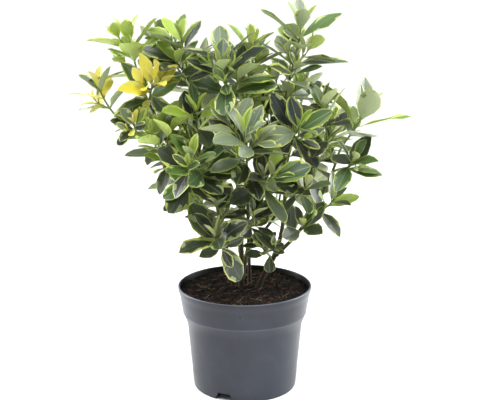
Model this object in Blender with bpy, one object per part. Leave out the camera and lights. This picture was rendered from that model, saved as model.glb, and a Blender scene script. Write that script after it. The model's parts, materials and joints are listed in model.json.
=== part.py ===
"""Japanese spindle in its nursery pot: a small variegated evergreen shrub.

Five stems rise from the peat and fork into boughs. Every bough carries one or more shoots, and
each shoot, with its side twigs and leaves, is one closed mass of foliage. Leaves stand in opposite
pairs, each pair turned a quarter from the last. All sizes are in metres, the origin is the centre
of the pot's flat underside, +Z is up, and -Y is the front.
"""

import math
import random

import bmesh
import bpy
import numpy as np
from mathutils import Matrix, Vector
from mathutils.bvhtree import BVHTree

# Pot
FOOT_RADIUS = 0.0738
WALL_TOP_RADIUS = 0.0829
WALL_TOP_HEIGHT = 0.0985
BAND_LOW_RADIUS = 0.0892
BAND_LOW_HEIGHT = 0.1115
BAND_HIGH_RADIUS = 0.0928
BAND_HIGH_HEIGHT = 0.1345
LIP_RADIUS = 0.0958
LIP_HEIGHT = 0.1475
POT_HEIGHT = 0.1510
POT_WALL = 0.0015
POT_FLOOR = 0.0020
FOOT_ROUNDING = 0.0018
LIP_THICKNESS = 0.0036
LIP_DEPTH = 0.0040
LIP_FOOT_INSET = 0.0014
LIP_THROAT = 0.0004
LIP_ROUNDING = 0.0008
WALL_FOOT_RISE = 0.004
POT_SIDES = 40

# Raised channels under the pot, each ending in a notch through the wall's foot
CHANNEL_COUNT = 3
CHANNEL_BEARING = -113.2
CHANNEL_START = 0.030
CHANNEL_WIDTH_LOW = 0.0290
CHANNEL_WIDTH_HIGH = 0.0180
CHANNEL_HEIGHT = 0.0110
DRAIN_RADIUS = 0.0050
DRAIN_PLACE = 0.047
DRAIN_SIDES = 10
BEYOND_WALL = 0.110
BELOW_POT = 0.010

# Soil
GAP = 0.0003
SOIL_TOP = 0.1460
SOIL_RINGS = 7
SOIL_EDGE = 0.0906
SOIL_BUMP = 0.0022
SOIL_WAVES = (95.0, 80.0, 210.0)
STEM_FLAT = 0.012

# Limbs
UP = Vector((0.0, 0.0, 1.0))
STEM_SIDES = 8
BOUGH_SIDES = 6
SHOOT_SIDES = 4
FLARE_SIZE = 0.0014
FLARE_HEIGHT = 0.006
SHOOT_FOOT_RADIUS = 0.0017
SHOOT_TIP_RADIUS = 0.0010
TWIG_RADII = (0.00120, 0.00114, 0.00102, 0.00100)
STEM_RINGS = 9
BOUGH_RINGS = 7
SHOOT_RINGS = 5

# Each stem: foot on the soil (x, y), top (x, y, z), radius above the flare, radius at the top
STEMS = {
    "stem_left": ((-0.016, 0.011), (-0.026, 0.012, 0.198), 0.0034, 0.0029),
    "stem_middle": ((-0.005, 0.000), (-0.004, 0.020, 0.273), 0.0038, 0.0029),
    "stem_slim": ((0.007, 0.024), (0.004, 0.060, 0.253), 0.0028, 0.0023),
    "stem_right": ((0.020, -0.003), (0.047, 0.020, 0.198), 0.0042, 0.0036),
    "stem_back": ((-0.004, 0.044), (0.008, 0.088, 0.199), 0.0038, 0.0031),
}

# Each bough: what carries it, how far along that, its end (x, y, z), start and end radius
BOUGHS = {
    "bough_left_low": ("stem_left", 1.0, (-0.060, 0.005, 0.264), 0.0028, 0.0020),
    "bough_front_low": ("stem_left", 0.70, (-0.028, -0.022, 0.208), 0.0021, 0.0017),
    "bough_left_high": ("stem_middle", 1.0, (-0.108, 0.020, 0.366), 0.0028, 0.0022),
    "bough_far_left": ("bough_left_high", 0.80, (-0.168, -0.006, 0.386), 0.0019, 0.0016),
    "bough_upper_left": ("bough_left_high", 1.0, (-0.137, 0.020, 0.417), 0.0022, 0.0017),
    "bough_top_left": ("stem_middle", 0.90, (-0.072, 0.060, 0.408), 0.0022, 0.0017),
    "bough_top_centre": ("stem_middle", 0.96, (-0.015, -0.002, 0.393), 0.0024, 0.0018),
    "bough_centre_front": ("stem_middle", 0.74, (0.004, -0.052, 0.312), 0.0022, 0.0017),
    "bough_tall": ("stem_right", 1.0, (0.054, 0.010, 0.391), 0.0033, 0.0021),
    "bough_right_outer": ("stem_right", 0.88, (0.104, 0.000, 0.272), 0.0030, 0.0023),
    "bough_right_high": ("bough_right_outer", 1.0, (0.131, 0.000, 0.340), 0.0022, 0.0018),
    "bough_back_centre": ("stem_slim", 1.0, (-0.011, 0.110, 0.330), 0.0023, 0.0018),
    "bough_back_left": ("stem_back", 1.0, (-0.062, 0.122, 0.262), 0.0028, 0.0019),
    "bough_back_right": ("stem_back", 0.88, (0.066, 0.122, 0.260), 0.0026, 0.0019),
}

# Each mass of foliage: its bough, how far along that, the shoot's tip (x, y, z), leaf scale,
# the turn of its topmost pair in degrees (0 is across the picture), side twigs, seed
MASSES = {
    "foliage_upper_left": ("bough_upper_left", 1.0, (-0.159, 0.020, 0.502), 1.10, 10, 0, 11),
    "foliage_golden_left": ("bough_upper_left", 0.86, (-0.124, -0.034, 0.449), 0.96, 40, 0, 12),
    "foliage_far_left": ("bough_far_left", 1.0, (-0.200, -0.010, 0.438), 0.90, 60, 0, 13),
    "foliage_far_left_low": ("bough_far_left", 0.72, (-0.149, -0.046, 0.394), 0.64, 60, 0, 14),
    "foliage_top_left": ("bough_top_left", 1.0, (-0.117, 0.062, 0.497), 0.96, 20, 0, 15),
    "foliage_top_left_front": ("bough_top_left", 0.86, (-0.086, 0.000, 0.503), 0.92, 55, 1, 16),
    "foliage_top_left_back": ("bough_top_left", 0.74, (-0.064, 0.122, 0.452), 1.00, 20, 0, 17),
    "foliage_left_middle": ("bough_left_high", 0.62, (-0.064, -0.040, 0.410), 0.98, 25, 0, 18),
    "foliage_left_shoot": ("bough_left_low", 0.80, (-0.122, -0.036, 0.378), 0.98, 70, 1, 19),
    "foliage_left_front": ("bough_left_low", 1.0, (-0.069, -0.084, 0.350), 1.06, 60, 1, 20),
    "foliage_left_low": ("bough_left_low", 0.58, (-0.080, 0.014, 0.284), 0.78, 15, 0, 21),
    "foliage_left_inner": ("bough_left_low", 0.30, (-0.040, -0.036, 0.282), 0.84, 75, 0, 43),
    "foliage_low_front": ("bough_front_low", 1.0, (-0.040, -0.066, 0.241), 1.04, 20, 0, 22),
    "foliage_front_top": ("bough_top_centre", 1.0, (-0.029, -0.052, 0.472), 1.06, 5, 1, 23),
    "foliage_top_centre": ("bough_top_centre", 0.84, (0.008, 0.026, 0.490), 1.00, 75, 0, 24),
    "foliage_centre_front": ("bough_centre_front", 1.0, (0.000, -0.102, 0.392), 1.00, 50, 1, 25),
    "foliage_right_front": ("bough_centre_front", 0.82, (0.038, -0.092, 0.334), 0.98, 20, 0, 26),
    "foliage_middle_low": ("stem_middle", 0.56, (0.014, -0.030, 0.268), 0.90, 35, 0, 44),
    "foliage_tall_right": ("bough_tall", 1.0, (0.077, 0.000, 0.519), 1.20, 8, 0, 27),
    "foliage_middle_right": ("bough_tall", 0.84, (0.074, -0.062, 0.392), 1.04, 30, 0, 28),
    "foliage_inner": ("bough_tall", 0.66, (0.024, 0.040, 0.404), 1.00, 60, 0, 29),
    "foliage_right_inner": ("bough_tall", 0.36, (0.086, -0.026, 0.302), 0.92, 80, 0, 45),
    "foliage_right_tip": ("bough_right_high", 1.0, (0.163, -0.004, 0.397), 1.30, 4, 0, 30),
    "foliage_right_upper": ("bough_right_high", 0.84, (0.107, -0.030, 0.416), 0.98, 35, 0, 31),
    "foliage_right_side": ("bough_right_high", 0.66, (0.148, -0.056, 0.344), 0.98, 65, 0, 32),
    "foliage_right_low": ("bough_right_outer", 0.82, (0.124, -0.030, 0.285), 0.84, 20, 0, 33),
    "foliage_low_right": ("bough_right_outer", 0.46, (0.082, -0.034, 0.248), 0.92, 45, 0, 34),
    "foliage_low_middle": ("stem_right", 0.66, (0.026, -0.036, 0.216), 0.64, 15, 0, 35),
    "foliage_slim_left": ("stem_slim", 0.60, (-0.050, 0.078, 0.300), 0.92, 25, 0, 47),
    "foliage_slim_right": ("stem_slim", 0.74, (0.054, 0.068, 0.306), 0.92, 65, 0, 48),
    "foliage_back_centre": ("bough_back_centre", 1.0, (-0.022, 0.160, 0.393), 1.04, 45, 1, 36),
    "foliage_back_top": ("bough_back_centre", 0.84, (0.020, 0.096, 0.460), 1.04, 15, 0, 37),
    "foliage_back_left": ("bough_back_left", 1.0, (-0.146, 0.112, 0.372), 1.04, 70, 0, 38),
    "foliage_back_left_low": ("bough_back_left", 0.84, (-0.092, 0.162, 0.292), 1.00, 30, 0, 39),
    "foliage_back_right": ("bough_back_right", 1.0, (0.142, 0.118, 0.362), 1.04, 65, 1, 40),
    "foliage_back_right_low": ("bough_back_right", 0.84, (0.090, 0.166, 0.282), 1.00, 10, 0, 41),
    "foliage_back_right_top": ("bough_back_right", 0.66, (0.086, 0.094, 0.420), 1.04, 50, 0, 42),
    "foliage_back_low": ("stem_back", 0.42, (0.012, 0.134, 0.238), 0.92, 70, 0, 46),
}

# How shoots and leaves grow
STEM_RISE = 0.30
STEM_LEAN = 0.60
SHOOT_RISE = 0.45
BRANCH_ANGLE = 50.0
FIRST_NODE = 0.003
NODE_STEPS = (0.006, 0.010, 0.015, 0.020, 0.024, 0.026)
BARE_FOOT = 0.012
TWIG_LENGTH = 0.034
TWIG_LENGTH_SPREAD = 0.15
TWIG_WAYS = (0.75, 0.65)
TWIG_RISE = 0.25
TWIG_FIRST_NODE = 3
PAIR_LENGTHS = (0.030, 0.042, 0.050, 0.054, 0.054, 0.050)
PAIR_ANGLES = (22.0, 40.0, 55.0, 66.0, 74.0, 80.0)
LEAF_THICKNESS = 0.0009
LEAF_KEEL = 0.55
STALK_LENGTH = 0.0040
STALK_HALF_WIDTH = 0.0009
FOOT_SINK = 0.0005
LEAF_SECTIONS = ((0.42, 0.205), (0.72, 0.235))
LEAF_FOLD = 0.08
LEAF_RECURVE = 0.10
LEAF_RISE = 0.10
FACE_RISE = 0.35
TURN_SPREAD = 0.16
TILT_SPREAD = 0.12
ROLL_SPREAD = 0.30
LENGTH_SPREAD = 0.10
NECK = 0.0065
SPARE = 0.0005
TRY_TURNS = (0.0, 14.0, -14.0, 28.0, -28.0)
TRY_TILTS = (0.0, -12.0, 12.0)
TRY_SIZES = (1.0, 0.84, 0.70)

# Colour, roughness of each material
COLOURS = {
    "pot_plastic": ((0.075, 0.083, 0.098), 0.42),
    "peat": ((0.022, 0.015, 0.010), 0.95),
    "bark": ((0.105, 0.098, 0.045), 0.70),
    "green_bough": ((0.190, 0.235, 0.085), 0.55),
    "leaf_green": ((0.045, 0.085, 0.035), 0.35),
    "leaf_lime": ((0.260, 0.400, 0.055), 0.40),
    "leaf_gold": ((0.560, 0.500, 0.060), 0.42),
}
TINTS = {
    "foliage_golden_left": "leaf_gold",
    "foliage_far_left": "leaf_gold",
    "foliage_upper_left": "leaf_lime",
}


def material(name):
    """One Principled material of the named colour and roughness."""
    found = bpy.data.materials.get(name)
    if found:
        return found
    colour, roughness = COLOURS[name]
    made = bpy.data.materials.new(name)
    made.use_nodes = True
    made.diffuse_color = (*colour, 1.0)
    shader = made.node_tree.nodes["Principled BSDF"]
    shader.inputs["Base Color"].default_value = (*colour, 1.0)
    shader.inputs["Roughness"].default_value = roughness
    shader.inputs["Metallic"].default_value = 0.0
    return made


def add_object(name, points, faces, material_name=None):
    """A mesh object from points and faces, smooth over its round sides."""
    mesh = bpy.data.meshes.new(name)
    mesh.from_pydata([tuple(p) for p in points], [], faces)
    made = bpy.data.objects.new(name, mesh)
    bpy.context.scene.collection.objects.link(made)
    if material_name:
        mesh.materials.append(material(material_name))
        mesh.shade_smooth()
        mesh.set_sharp_from_angle(angle=math.radians(35.0))
    return made


def apply_boolean(body, operation, operands):
    """Cut or join a list of objects into body, apply it and remove them."""
    group = bpy.data.collections.new(body.name + "_operands")
    bpy.context.scene.collection.children.link(group)
    for piece in operands:
        bpy.context.scene.collection.objects.unlink(piece)
        group.objects.link(piece)
    step = body.modifiers.new(operation.title(), "BOOLEAN")
    step.operation = operation
    step.operand_type = "COLLECTION"
    step.collection = group
    step.solver = "EXACT"
    graph = bpy.context.evaluated_depsgraph_get()
    joined = bpy.data.meshes.new_from_object(body.evaluated_get(graph))
    body.modifiers.remove(step)
    old = body.data
    body.data = joined
    bpy.data.meshes.remove(old)
    for piece in list(group.objects):
        bpy.data.objects.remove(piece)
    bpy.data.collections.remove(group)


def keep_largest_shell(body):
    """Fill sealed hollows and drop loose scraps: only the shell with most faces stays."""
    mesh = bmesh.new()
    mesh.from_mesh(body.data)
    left = set(mesh.faces)
    shells = []
    while left:
        shell = {left.pop()}
        edge_of_search = list(shell)
        while edge_of_search:
            face = edge_of_search.pop()
            near = {other for edge in face.edges for other in edge.link_faces if other in left}
            left -= near
            shell |= near
            edge_of_search.extend(near)
        shells.append(shell)
    shells.sort(key=len)
    loose = [face for shell in shells[:-1] for face in shell]
    if loose:
        bmesh.ops.delete(mesh, geom=loose, context="FACES")
    mesh.to_mesh(body.data)
    mesh.free()


# Pot and soil

def turned(profile, sides):
    """Points and faces of a solid turned round Z from (radius, height) pairs, bottom to top.

    The first and the last ring are closed by flat caps.
    """
    points = []
    for radius, height in profile:
        for step in range(sides):
            angle = 2.0 * math.pi * step / sides
            points.append((radius * math.cos(angle), radius * math.sin(angle), height))
    faces = [tuple(range(sides - 1, -1, -1))]
    for low in range(0, len(points) - sides, sides):
        for step in range(sides):
            following = (step + 1) % sides
            faces.append((low + step, low + following, low + sides + following, low + sides + step))
    faces.append(tuple(range(len(points) - sides, len(points))))
    return points, faces


def wall_line(inset):
    """The pot's side as (radius, height) pairs from above the foot to under the lip."""
    return [
        (FOOT_RADIUS - inset, POT_FLOOR + inset + WALL_FOOT_RISE),
        (WALL_TOP_RADIUS - inset, WALL_TOP_HEIGHT),
        (BAND_LOW_RADIUS - inset, BAND_LOW_HEIGHT),
        (BAND_HIGH_RADIUS - inset, BAND_HIGH_HEIGHT),
    ]


def channel_prism(name, spare, bearing, reach, under):
    """A radial wedge of trapezoid section, grown by spare on its top and sides."""
    way = Matrix.Rotation(math.radians(bearing), 4, "Z")
    low = CHANNEL_WIDTH_LOW / 2.0 + spare
    high = CHANNEL_WIDTH_HIGH / 2.0 + spare
    top = CHANNEL_HEIGHT + spare
    foot = high + (low - high) * (top - under) / top
    section = [(-foot, under), (foot, under), (high, top), (-high, top)]
    start = CHANNEL_START - spare
    points = [way @ Vector((x, y, z)) for x in (start, reach) for y, z in section]
    faces = [(3, 2, 1, 0), (4, 5, 6, 7), (0, 1, 5, 4), (1, 2, 6, 5), (2, 3, 7, 6), (3, 0, 4, 7)]
    return add_object(name, points, faces)


def channel_bearings():
    return [CHANNEL_BEARING + 360.0 * step / CHANNEL_COUNT for step in range(CHANNEL_COUNT)]


def make_channel_skin(bearing):
    """The raised roof over one channel, seated in the floor and in the wall's thickness."""
    skin = channel_prism("skin", POT_WALL, bearing, BEYOND_WALL, POT_FLOOR * 0.75)
    radius = FOOT_RADIUS - POT_WALL / 2.0
    drum = [(radius, -POT_FLOOR), (radius, BEYOND_WALL)]
    apply_boolean(skin, "INTERSECT", [add_object("drum", *turned(drum, POT_SIDES))])
    return skin


def make_pot():
    """Thin-walled tapered pot with a stepped band, a rolled lip and three raised channels."""
    profile = [(FOOT_RADIUS - FOOT_ROUNDING, 0.0), (FOOT_RADIUS, FOOT_ROUNDING)]
    profile += wall_line(0.0)[1:]
    profile += [
        (LIP_RADIUS - LIP_FOOT_INSET, LIP_HEIGHT - LIP_DEPTH),
        (LIP_RADIUS, LIP_HEIGHT),
        (LIP_RADIUS - LIP_ROUNDING, POT_HEIGHT),
        (LIP_RADIUS - LIP_THICKNESS, POT_HEIGHT),
        (LIP_RADIUS - LIP_THICKNESS - LIP_THROAT, LIP_HEIGHT - LIP_DEPTH),
    ]
    profile += wall_line(POT_WALL)[::-1]
    profile += [(FOOT_RADIUS - POT_WALL - FOOT_ROUNDING, POT_FLOOR)]
    pot = add_object("pot", *turned(profile, POT_SIDES), material_name="pot_plastic")
    apply_boolean(pot, "UNION", [make_channel_skin(bearing) for bearing in channel_bearings()])
    cuts = [channel_prism("channel", 0.0, b, BEYOND_WALL, -BELOW_POT) for b in channel_bearings()]
    apply_boolean(pot, "DIFFERENCE", cuts)
    drains = []
    for bearing in channel_bearings():
        place = Matrix.Rotation(math.radians(bearing), 4, "Z") @ Vector((DRAIN_PLACE, 0.0, 0.0))
        shaft = [(DRAIN_RADIUS, CHANNEL_HEIGHT / 2.0), (DRAIN_RADIUS, CHANNEL_HEIGHT * 2.0)]
        points, faces = turned(shaft, DRAIN_SIDES)
        drains.append(add_object("drain", [Vector(p) + place for p in points], faces))
    apply_boolean(pot, "DIFFERENCE", drains)
    return pot


def soil_height(x, y):
    """Uneven peat: crossed waves below its highest level, flat round each stem's foot."""
    wave = math.sin(SOIL_WAVES[0] * x + 1.3) * math.cos(SOIL_WAVES[1] * y - 0.4)
    wave += 0.5 * math.sin(SOIL_WAVES[2] * (x - y))
    feet = [(0.0, 0.0)] + [foot for foot, _, _, _ in STEMS.values()]
    nearest = min(math.hypot(x - foot[0], y - foot[1]) for foot in feet)
    fade = min(1.0, max(0.0, nearest / STEM_FLAT - 1.0))
    return SOIL_TOP - GAP - SOIL_BUMP * fade * (0.75 - 0.5 * wave)


def make_soil():
    """Peat that fills the pot, clear of its wall, floor and channels."""
    side = [(FOOT_RADIUS - POT_WALL - FOOT_ROUNDING - GAP, POT_FLOOR + GAP)]
    side += wall_line(POT_WALL + GAP)
    rings = [(SOIL_EDGE * (SOIL_RINGS - step) / SOIL_RINGS, SOIL_TOP) for step in range(SOIL_RINGS)]
    points, faces = turned(side + rings, POT_SIDES // 2)
    lifted = [(x, y, soil_height(x, y) if z == SOIL_TOP else z) for x, y, z in points]
    soil = add_object("soil", lifted, faces, "peat")
    skins = [
        channel_prism("skin", POT_WALL + GAP, bearing, BEYOND_WALL, -BELOW_POT)
        for bearing in channel_bearings()
    ]
    apply_boolean(soil, "DIFFERENCE", skins)
    return soil


# Limbs

def bezier(start, start_way, end, end_way, count):
    """Points and unit directions along a cubic curve that leaves and arrives on given ways."""
    span = (end - start).length / 3.0
    a, b, c, d = start, start + start_way * span, end - end_way * span, end
    points = []
    ways = []
    for step in range(count):
        t = step / (count - 1)
        s = 1.0 - t
        points.append(a * s**3 + b * 3 * s * s * t + c * 3 * s * t * t + d * t**3)
        ways.append(((b - a) * s * s + (c - b) * 2 * s * t + (d - c) * t * t).normalized())
    return points, ways


def square_to(way, hint):
    """The part of hint that is square to way, as a unit vector."""
    across = hint - way * hint.dot(way)
    if across.length < 1e-6:
        across = Vector((1.0, 0.0, 0.0)) - way * way.x
    return across.normalized()


def across_shoot(way, turn):
    """The direction square to a shoot at an angle round it, counted from the picture's right."""
    return Matrix.Rotation(turn, 3, way) @ square_to(way, Vector((1.0, 0.0, 0.0)))


def tube(points, ways, radii, sides, first_plane=None, turn=None):
    """Closed tapering limb. first_plane squares its first ring to that direction, and turn sets
    a corner midway between the leaf pairs, so that each leaf's foot enters a flat side."""
    side = square_to(ways[0], Vector((0.31, 0.95, 0.0)))
    rings = []
    for place, way, radius in zip(points, ways, radii):
        side = square_to(way, side)
        if turn is not None:
            side = across_shoot(way, turn + math.pi / sides)
        other = way.cross(side)
        ring = []
        for step in range(sides):
            angle = 2.0 * math.pi * step / sides
            offset = side * (radius * math.cos(angle)) + other * (radius * math.sin(angle))
            if first_plane is not None and not rings:
                offset -= way * (offset.dot(first_plane) / way.dot(first_plane))
            ring.append(place + offset)
        rings.append(ring)
    corners = [corner for ring in rings for corner in ring]
    faces = [tuple(range(sides - 1, -1, -1))]
    for low in range(0, len(corners) - sides, sides):
        for step in range(sides):
            following = (step + 1) % sides
            faces.append((low + step, low + following, low + sides + following, low + sides + step))
    faces.append(tuple(range(len(corners) - sides, len(corners))))
    return corners, faces


def limb_end_way(start, end, rise):
    """Limbs bend up as they grow: the way from start to end, lifted towards the sky."""
    return ((end - start).normalized() * (1.0 - rise) + UP * rise).normalized()


def branch(parent, along, end):
    """Where a limb starts on its parent: place, way and the plane of its first ring."""
    points, ways, radii = parent
    if along == 1.0:
        return points[-1] + ways[-1] * GAP, ways[-1], None
    place = along * (len(points) - 1)
    low = int(place)
    share = place - low
    axis = points[low].lerp(points[low + 1], share)
    way = ways[low].lerp(ways[low + 1], share).normalized()
    radius = radii[low] * (1.0 - share) + radii[low + 1] * share
    outward = square_to(way, end - axis)
    spread = math.radians(BRANCH_ANGLE)
    start_way = way * math.cos(spread) + outward * math.sin(spread)
    return axis + outward * (radius + GAP), start_way, outward


def lay_out_limbs():
    """Every stem, bough and shoot as points, ways, radii, sides and the plane it starts on."""
    limbs = {}
    for name, (foot, top, low_radius, high_radius) in STEMS.items():
        start = Vector((foot[0], foot[1], SOIL_TOP))
        end = Vector(top)
        start_way = limb_end_way(start, end, 1.0 - STEM_LEAN)
        points, ways = bezier(start, start_way, end, limb_end_way(start, end, STEM_RISE), STEM_RINGS)
        radii = []
        for step, point in enumerate(points):
            taper = low_radius + (high_radius - low_radius) * step / (STEM_RINGS - 1)
            radii.append(taper + FLARE_SIZE * math.exp(-(point.z - SOIL_TOP) / FLARE_HEIGHT))
        limbs[name] = (points, ways, radii, STEM_SIDES, UP)
    for name, (parent, along, end, low_radius, high_radius) in BOUGHS.items():
        limbs[name] = side_limb(limbs[parent], along, Vector(end), low_radius, high_radius,
                                BOUGH_SIDES, STEM_RISE, BOUGH_RINGS)
    for name, (parent, along, tip, _, _, _, _) in MASSES.items():
        low_radius = min(limbs[parent][2][-1], SHOOT_FOOT_RADIUS)
        limbs[name] = side_limb(limbs[parent], along, Vector(tip), low_radius,
                                SHOOT_TIP_RADIUS, SHOOT_SIDES, SHOOT_RISE, SHOOT_RINGS)
    return limbs


def side_limb(parent, along, end, low_radius, high_radius, sides, rise, count):
    """One tapering limb from its seat on the parent to its end."""
    start, start_way, plane = branch(parent[:3], along, end)
    points, ways = bezier(start, start_way, end, limb_end_way(start, end, rise), count)
    radii = [low_radius + (high_radius - low_radius) * i / (count - 1) for i in range(count)]
    return points, ways, radii, sides, plane


# Leaves

def leaf_outline(length, start=0.0, grown=0.0):
    """A leaf's outline from its foot round its right edge, tip and left edge, and its keel.

    X runs along the leaf, Y across it and Z out of its upper face. The blade bends back, and its
    edges stand above its midrib. It begins at start, and grown widens it.
    """
    sections = [(max(start, STALK_LENGTH), STALK_HALF_WIDTH)]
    sections += [(along * length, half * length) for along, half in LEAF_SECTIONS]
    right = []
    for x, half in sections:
        height = LEAF_FOLD * half - LEAF_RECURVE * x * x / length + LEAF_THICKNESS / 2.0
        right.append((x, -half - grown, height))
    left = [(x, -y, z) for x, y, z in reversed(right)]
    foot = (start, 0.0, 0.0)
    tip = (length + grown, 0.0, -LEAF_RECURVE * length)
    keel_x = LEAF_KEEL * length
    keel = (keel_x, 0.0, -LEAF_THICKNESS - LEAF_RECURVE * keel_x * keel_x / length)
    return [foot] + right + [tip] + left, keel


def leaf_top(count):
    """Faces of the upper side, from the foot to the tip, over an outline of count points."""
    half = count // 2
    faces = [(0, 1, count - 1), (half - 1, half, half + 1)]
    faces += [(step, step + 1, count - step - 1, count - step) for step in range(1, half - 1)]
    return faces


def leaf_shape(frame, length):
    """One closed blade: a flat-topped outline with a fan of faces down to its keel."""
    outline, keel = leaf_outline(length)
    count = len(outline)
    faces = leaf_top(count)
    faces += [((step + 1) % count, step, count) for step in range(count)]
    return [frame @ Vector(corner) for corner in outline + [keel]], faces


def leaf_space(frame, length, start=0.0):
    """The space that a leaf keeps to itself: its blade from start on, swollen by SPARE."""
    outline, keel = leaf_outline(length, start, SPARE)
    count = len(outline)
    corners = [(x, y, z + SPARE) for x, y, z in outline] + [(x, y, z - SPARE) for x, y, z in outline]
    corners.append((keel[0], keel[1], keel[2] - SPARE))
    faces = leaf_top(count)
    for step in range(count):
        low, following = count + step, count + (step + 1) % count
        faces += [(low, following, following - count, step), (following, low, 2 * count)]
    return [frame @ Vector(corner) for corner in corners], faces


def leaf_frame(place, shoot_way, turn, tilt, roll):
    """A leaf's axes on its shoot: turned round the shoot, tilted off it, upper face to the tip."""
    across = across_shoot(shoot_way, turn)
    along = (shoot_way * math.cos(tilt) + across * math.sin(tilt) + UP * LEAF_RISE)
    along.normalize()
    upper = square_to(along, shoot_way + UP * FACE_RISE)
    upper = Matrix.Rotation(roll, 3, along) @ upper
    axes = Matrix((along, upper.cross(along), upper)).transposed()
    return Matrix.Translation(place - along * FOOT_SINK) @ axes.to_4x4()


def along_limb(points, ways, back):
    """The point and way at a distance back from the limb's tip, or None past its foot."""
    left = back
    for step in range(len(points) - 1, 0, -1):
        run = (points[step] - points[step - 1]).length
        if left <= run:
            share = left / run
            return points[step].lerp(points[step - 1], share), ways[step].lerp(ways[step - 1], share)
        left -= run
    return None


def limb_length(points):
    return sum((b - a).length for a, b in zip(points, points[1:]))


def leaf_places(points, ways, bare_foot, first_pair=0):
    """Places and ways of the leaf pairs from the tip down, closer together near the tip."""
    found = []
    back = FIRST_NODE
    pair = 0
    while back < limb_length(points) - bare_foot:
        place, way = along_limb(points, ways, back)
        found.append((pair + first_pair, place, way.normalized()))
        back += NODE_STEPS[min(pair, len(NODE_STEPS) - 1)]
        pair += 1
    return found


class Room:
    """What is already in place, so that each new piece can be tested for free space."""

    def __init__(self):
        self.owners = []
        self.centres = np.zeros((0, 3))
        self.reaches = np.zeros(0)
        self.trees = []

    def add(self, owner, points, faces):
        cloud = np.array([tuple(p) for p in points])
        centre = (cloud.min(axis=0) + cloud.max(axis=0)) / 2.0
        reach = np.sqrt(((cloud - centre) ** 2).sum(axis=1).max())
        self.owners.append(owner)
        self.centres = np.vstack([self.centres, centre])
        self.reaches = np.append(self.reaches, reach)
        self.trees.append(BVHTree.FromPolygons([tuple(p) for p in points], faces))

    def is_free(self, points, faces, wanted):
        """True where the piece meets nothing whose owner passes the test wanted(owner)."""
        cloud = np.array([tuple(p) for p in points])
        centre = (cloud.min(axis=0) + cloud.max(axis=0)) / 2.0
        reach = np.sqrt(((cloud - centre) ** 2).sum(axis=1).max())
        far = np.sqrt(((self.centres - centre) ** 2).sum(axis=1))
        tree = BVHTree.FromPolygons([tuple(p) for p in points], faces)
        for index in np.nonzero(far < self.reaches + reach)[0]:
            if wanted(self.owners[index]) and self.trees[index].overlap(tree):
                return False
        return True


def try_leaf(room, owner, place, way, turn, tilt, roll, length):
    """The first free way to seat a leaf, from a fixed list of small turns, tilts and sizes."""
    for size in TRY_SIZES:
        for more_tilt in TRY_TILTS:
            for more_turn in TRY_TURNS:
                frame = leaf_frame(place, way, turn + math.radians(more_turn),
                                   tilt + math.radians(more_tilt), roll)
                whole = leaf_space(frame, length * size)
                if not room.is_free(*whole, lambda other: other != owner):
                    continue
                blade = leaf_space(frame, length * size, NECK)
                if room.is_free(*blade, lambda other: other == owner):
                    return frame, length * size
    return None


def grow_side_twigs(room, name, limb, twigs, turn, draw):
    """Short twigs from the axils of a shoot's lower pairs, skipped where there is no room."""
    made = []
    pairs = leaf_places(limb[0], limb[1], BARE_FOOT)
    for pair, place, way in pairs[TWIG_FIRST_NODE:TWIG_FIRST_NODE + 2 * twigs]:
        side = draw.choice((0.0, math.pi))
        reach = TWIG_LENGTH * (1.0 + TWIG_LENGTH_SPREAD * draw.uniform(-1.0, 1.0))
        across = across_shoot(way, turn + pair * math.pi / 2.0 + side)
        start_way = (way * TWIG_WAYS[0] + across * TWIG_WAYS[1]).normalized()
        end = place + (start_way + UP * TWIG_RISE).normalized() * reach
        points, ways = bezier(place - start_way * FOOT_SINK, start_way, end,
                              limb_end_way(place, end, SHOOT_RISE), len(TWIG_RADII))
        shape = tube(points, ways, [radius + SPARE for radius in TWIG_RADII], SHOOT_SIDES)
        if room.is_free(*shape, lambda other: other != name):
            made.append((points, ways, TWIG_RADII))
            room.add(name, *tube(points, ways, TWIG_RADII, SHOOT_SIDES))
    return made


def grow_leaves(room, name, shoots, scale, turn, draw):
    """Opposite pairs down each shoot, every pair a quarter turn from the last."""
    leaves = []
    for points, ways, first_pair, bare_foot in shoots:
        for pair, place, way in leaf_places(points, ways, bare_foot, first_pair):
            for side in (0.0, math.pi):
                row = min(pair, len(PAIR_LENGTHS) - 1)
                around = turn + pair * math.pi / 2.0 + side + TURN_SPREAD * draw.uniform(-1.0, 1.0)
                tilt = math.radians(PAIR_ANGLES[row]) + TILT_SPREAD * draw.uniform(-1.0, 1.0)
                roll = ROLL_SPREAD * draw.uniform(-1.0, 1.0)
                length = PAIR_LENGTHS[row] * scale * (1.0 + LENGTH_SPREAD * draw.uniform(-1.0, 1.0))
                seated = try_leaf(room, name, place, way, around, tilt, roll, length)
                if seated:
                    leaves.append(seated)
                    room.add(name, *leaf_shape(*seated))
    return leaves


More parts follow.
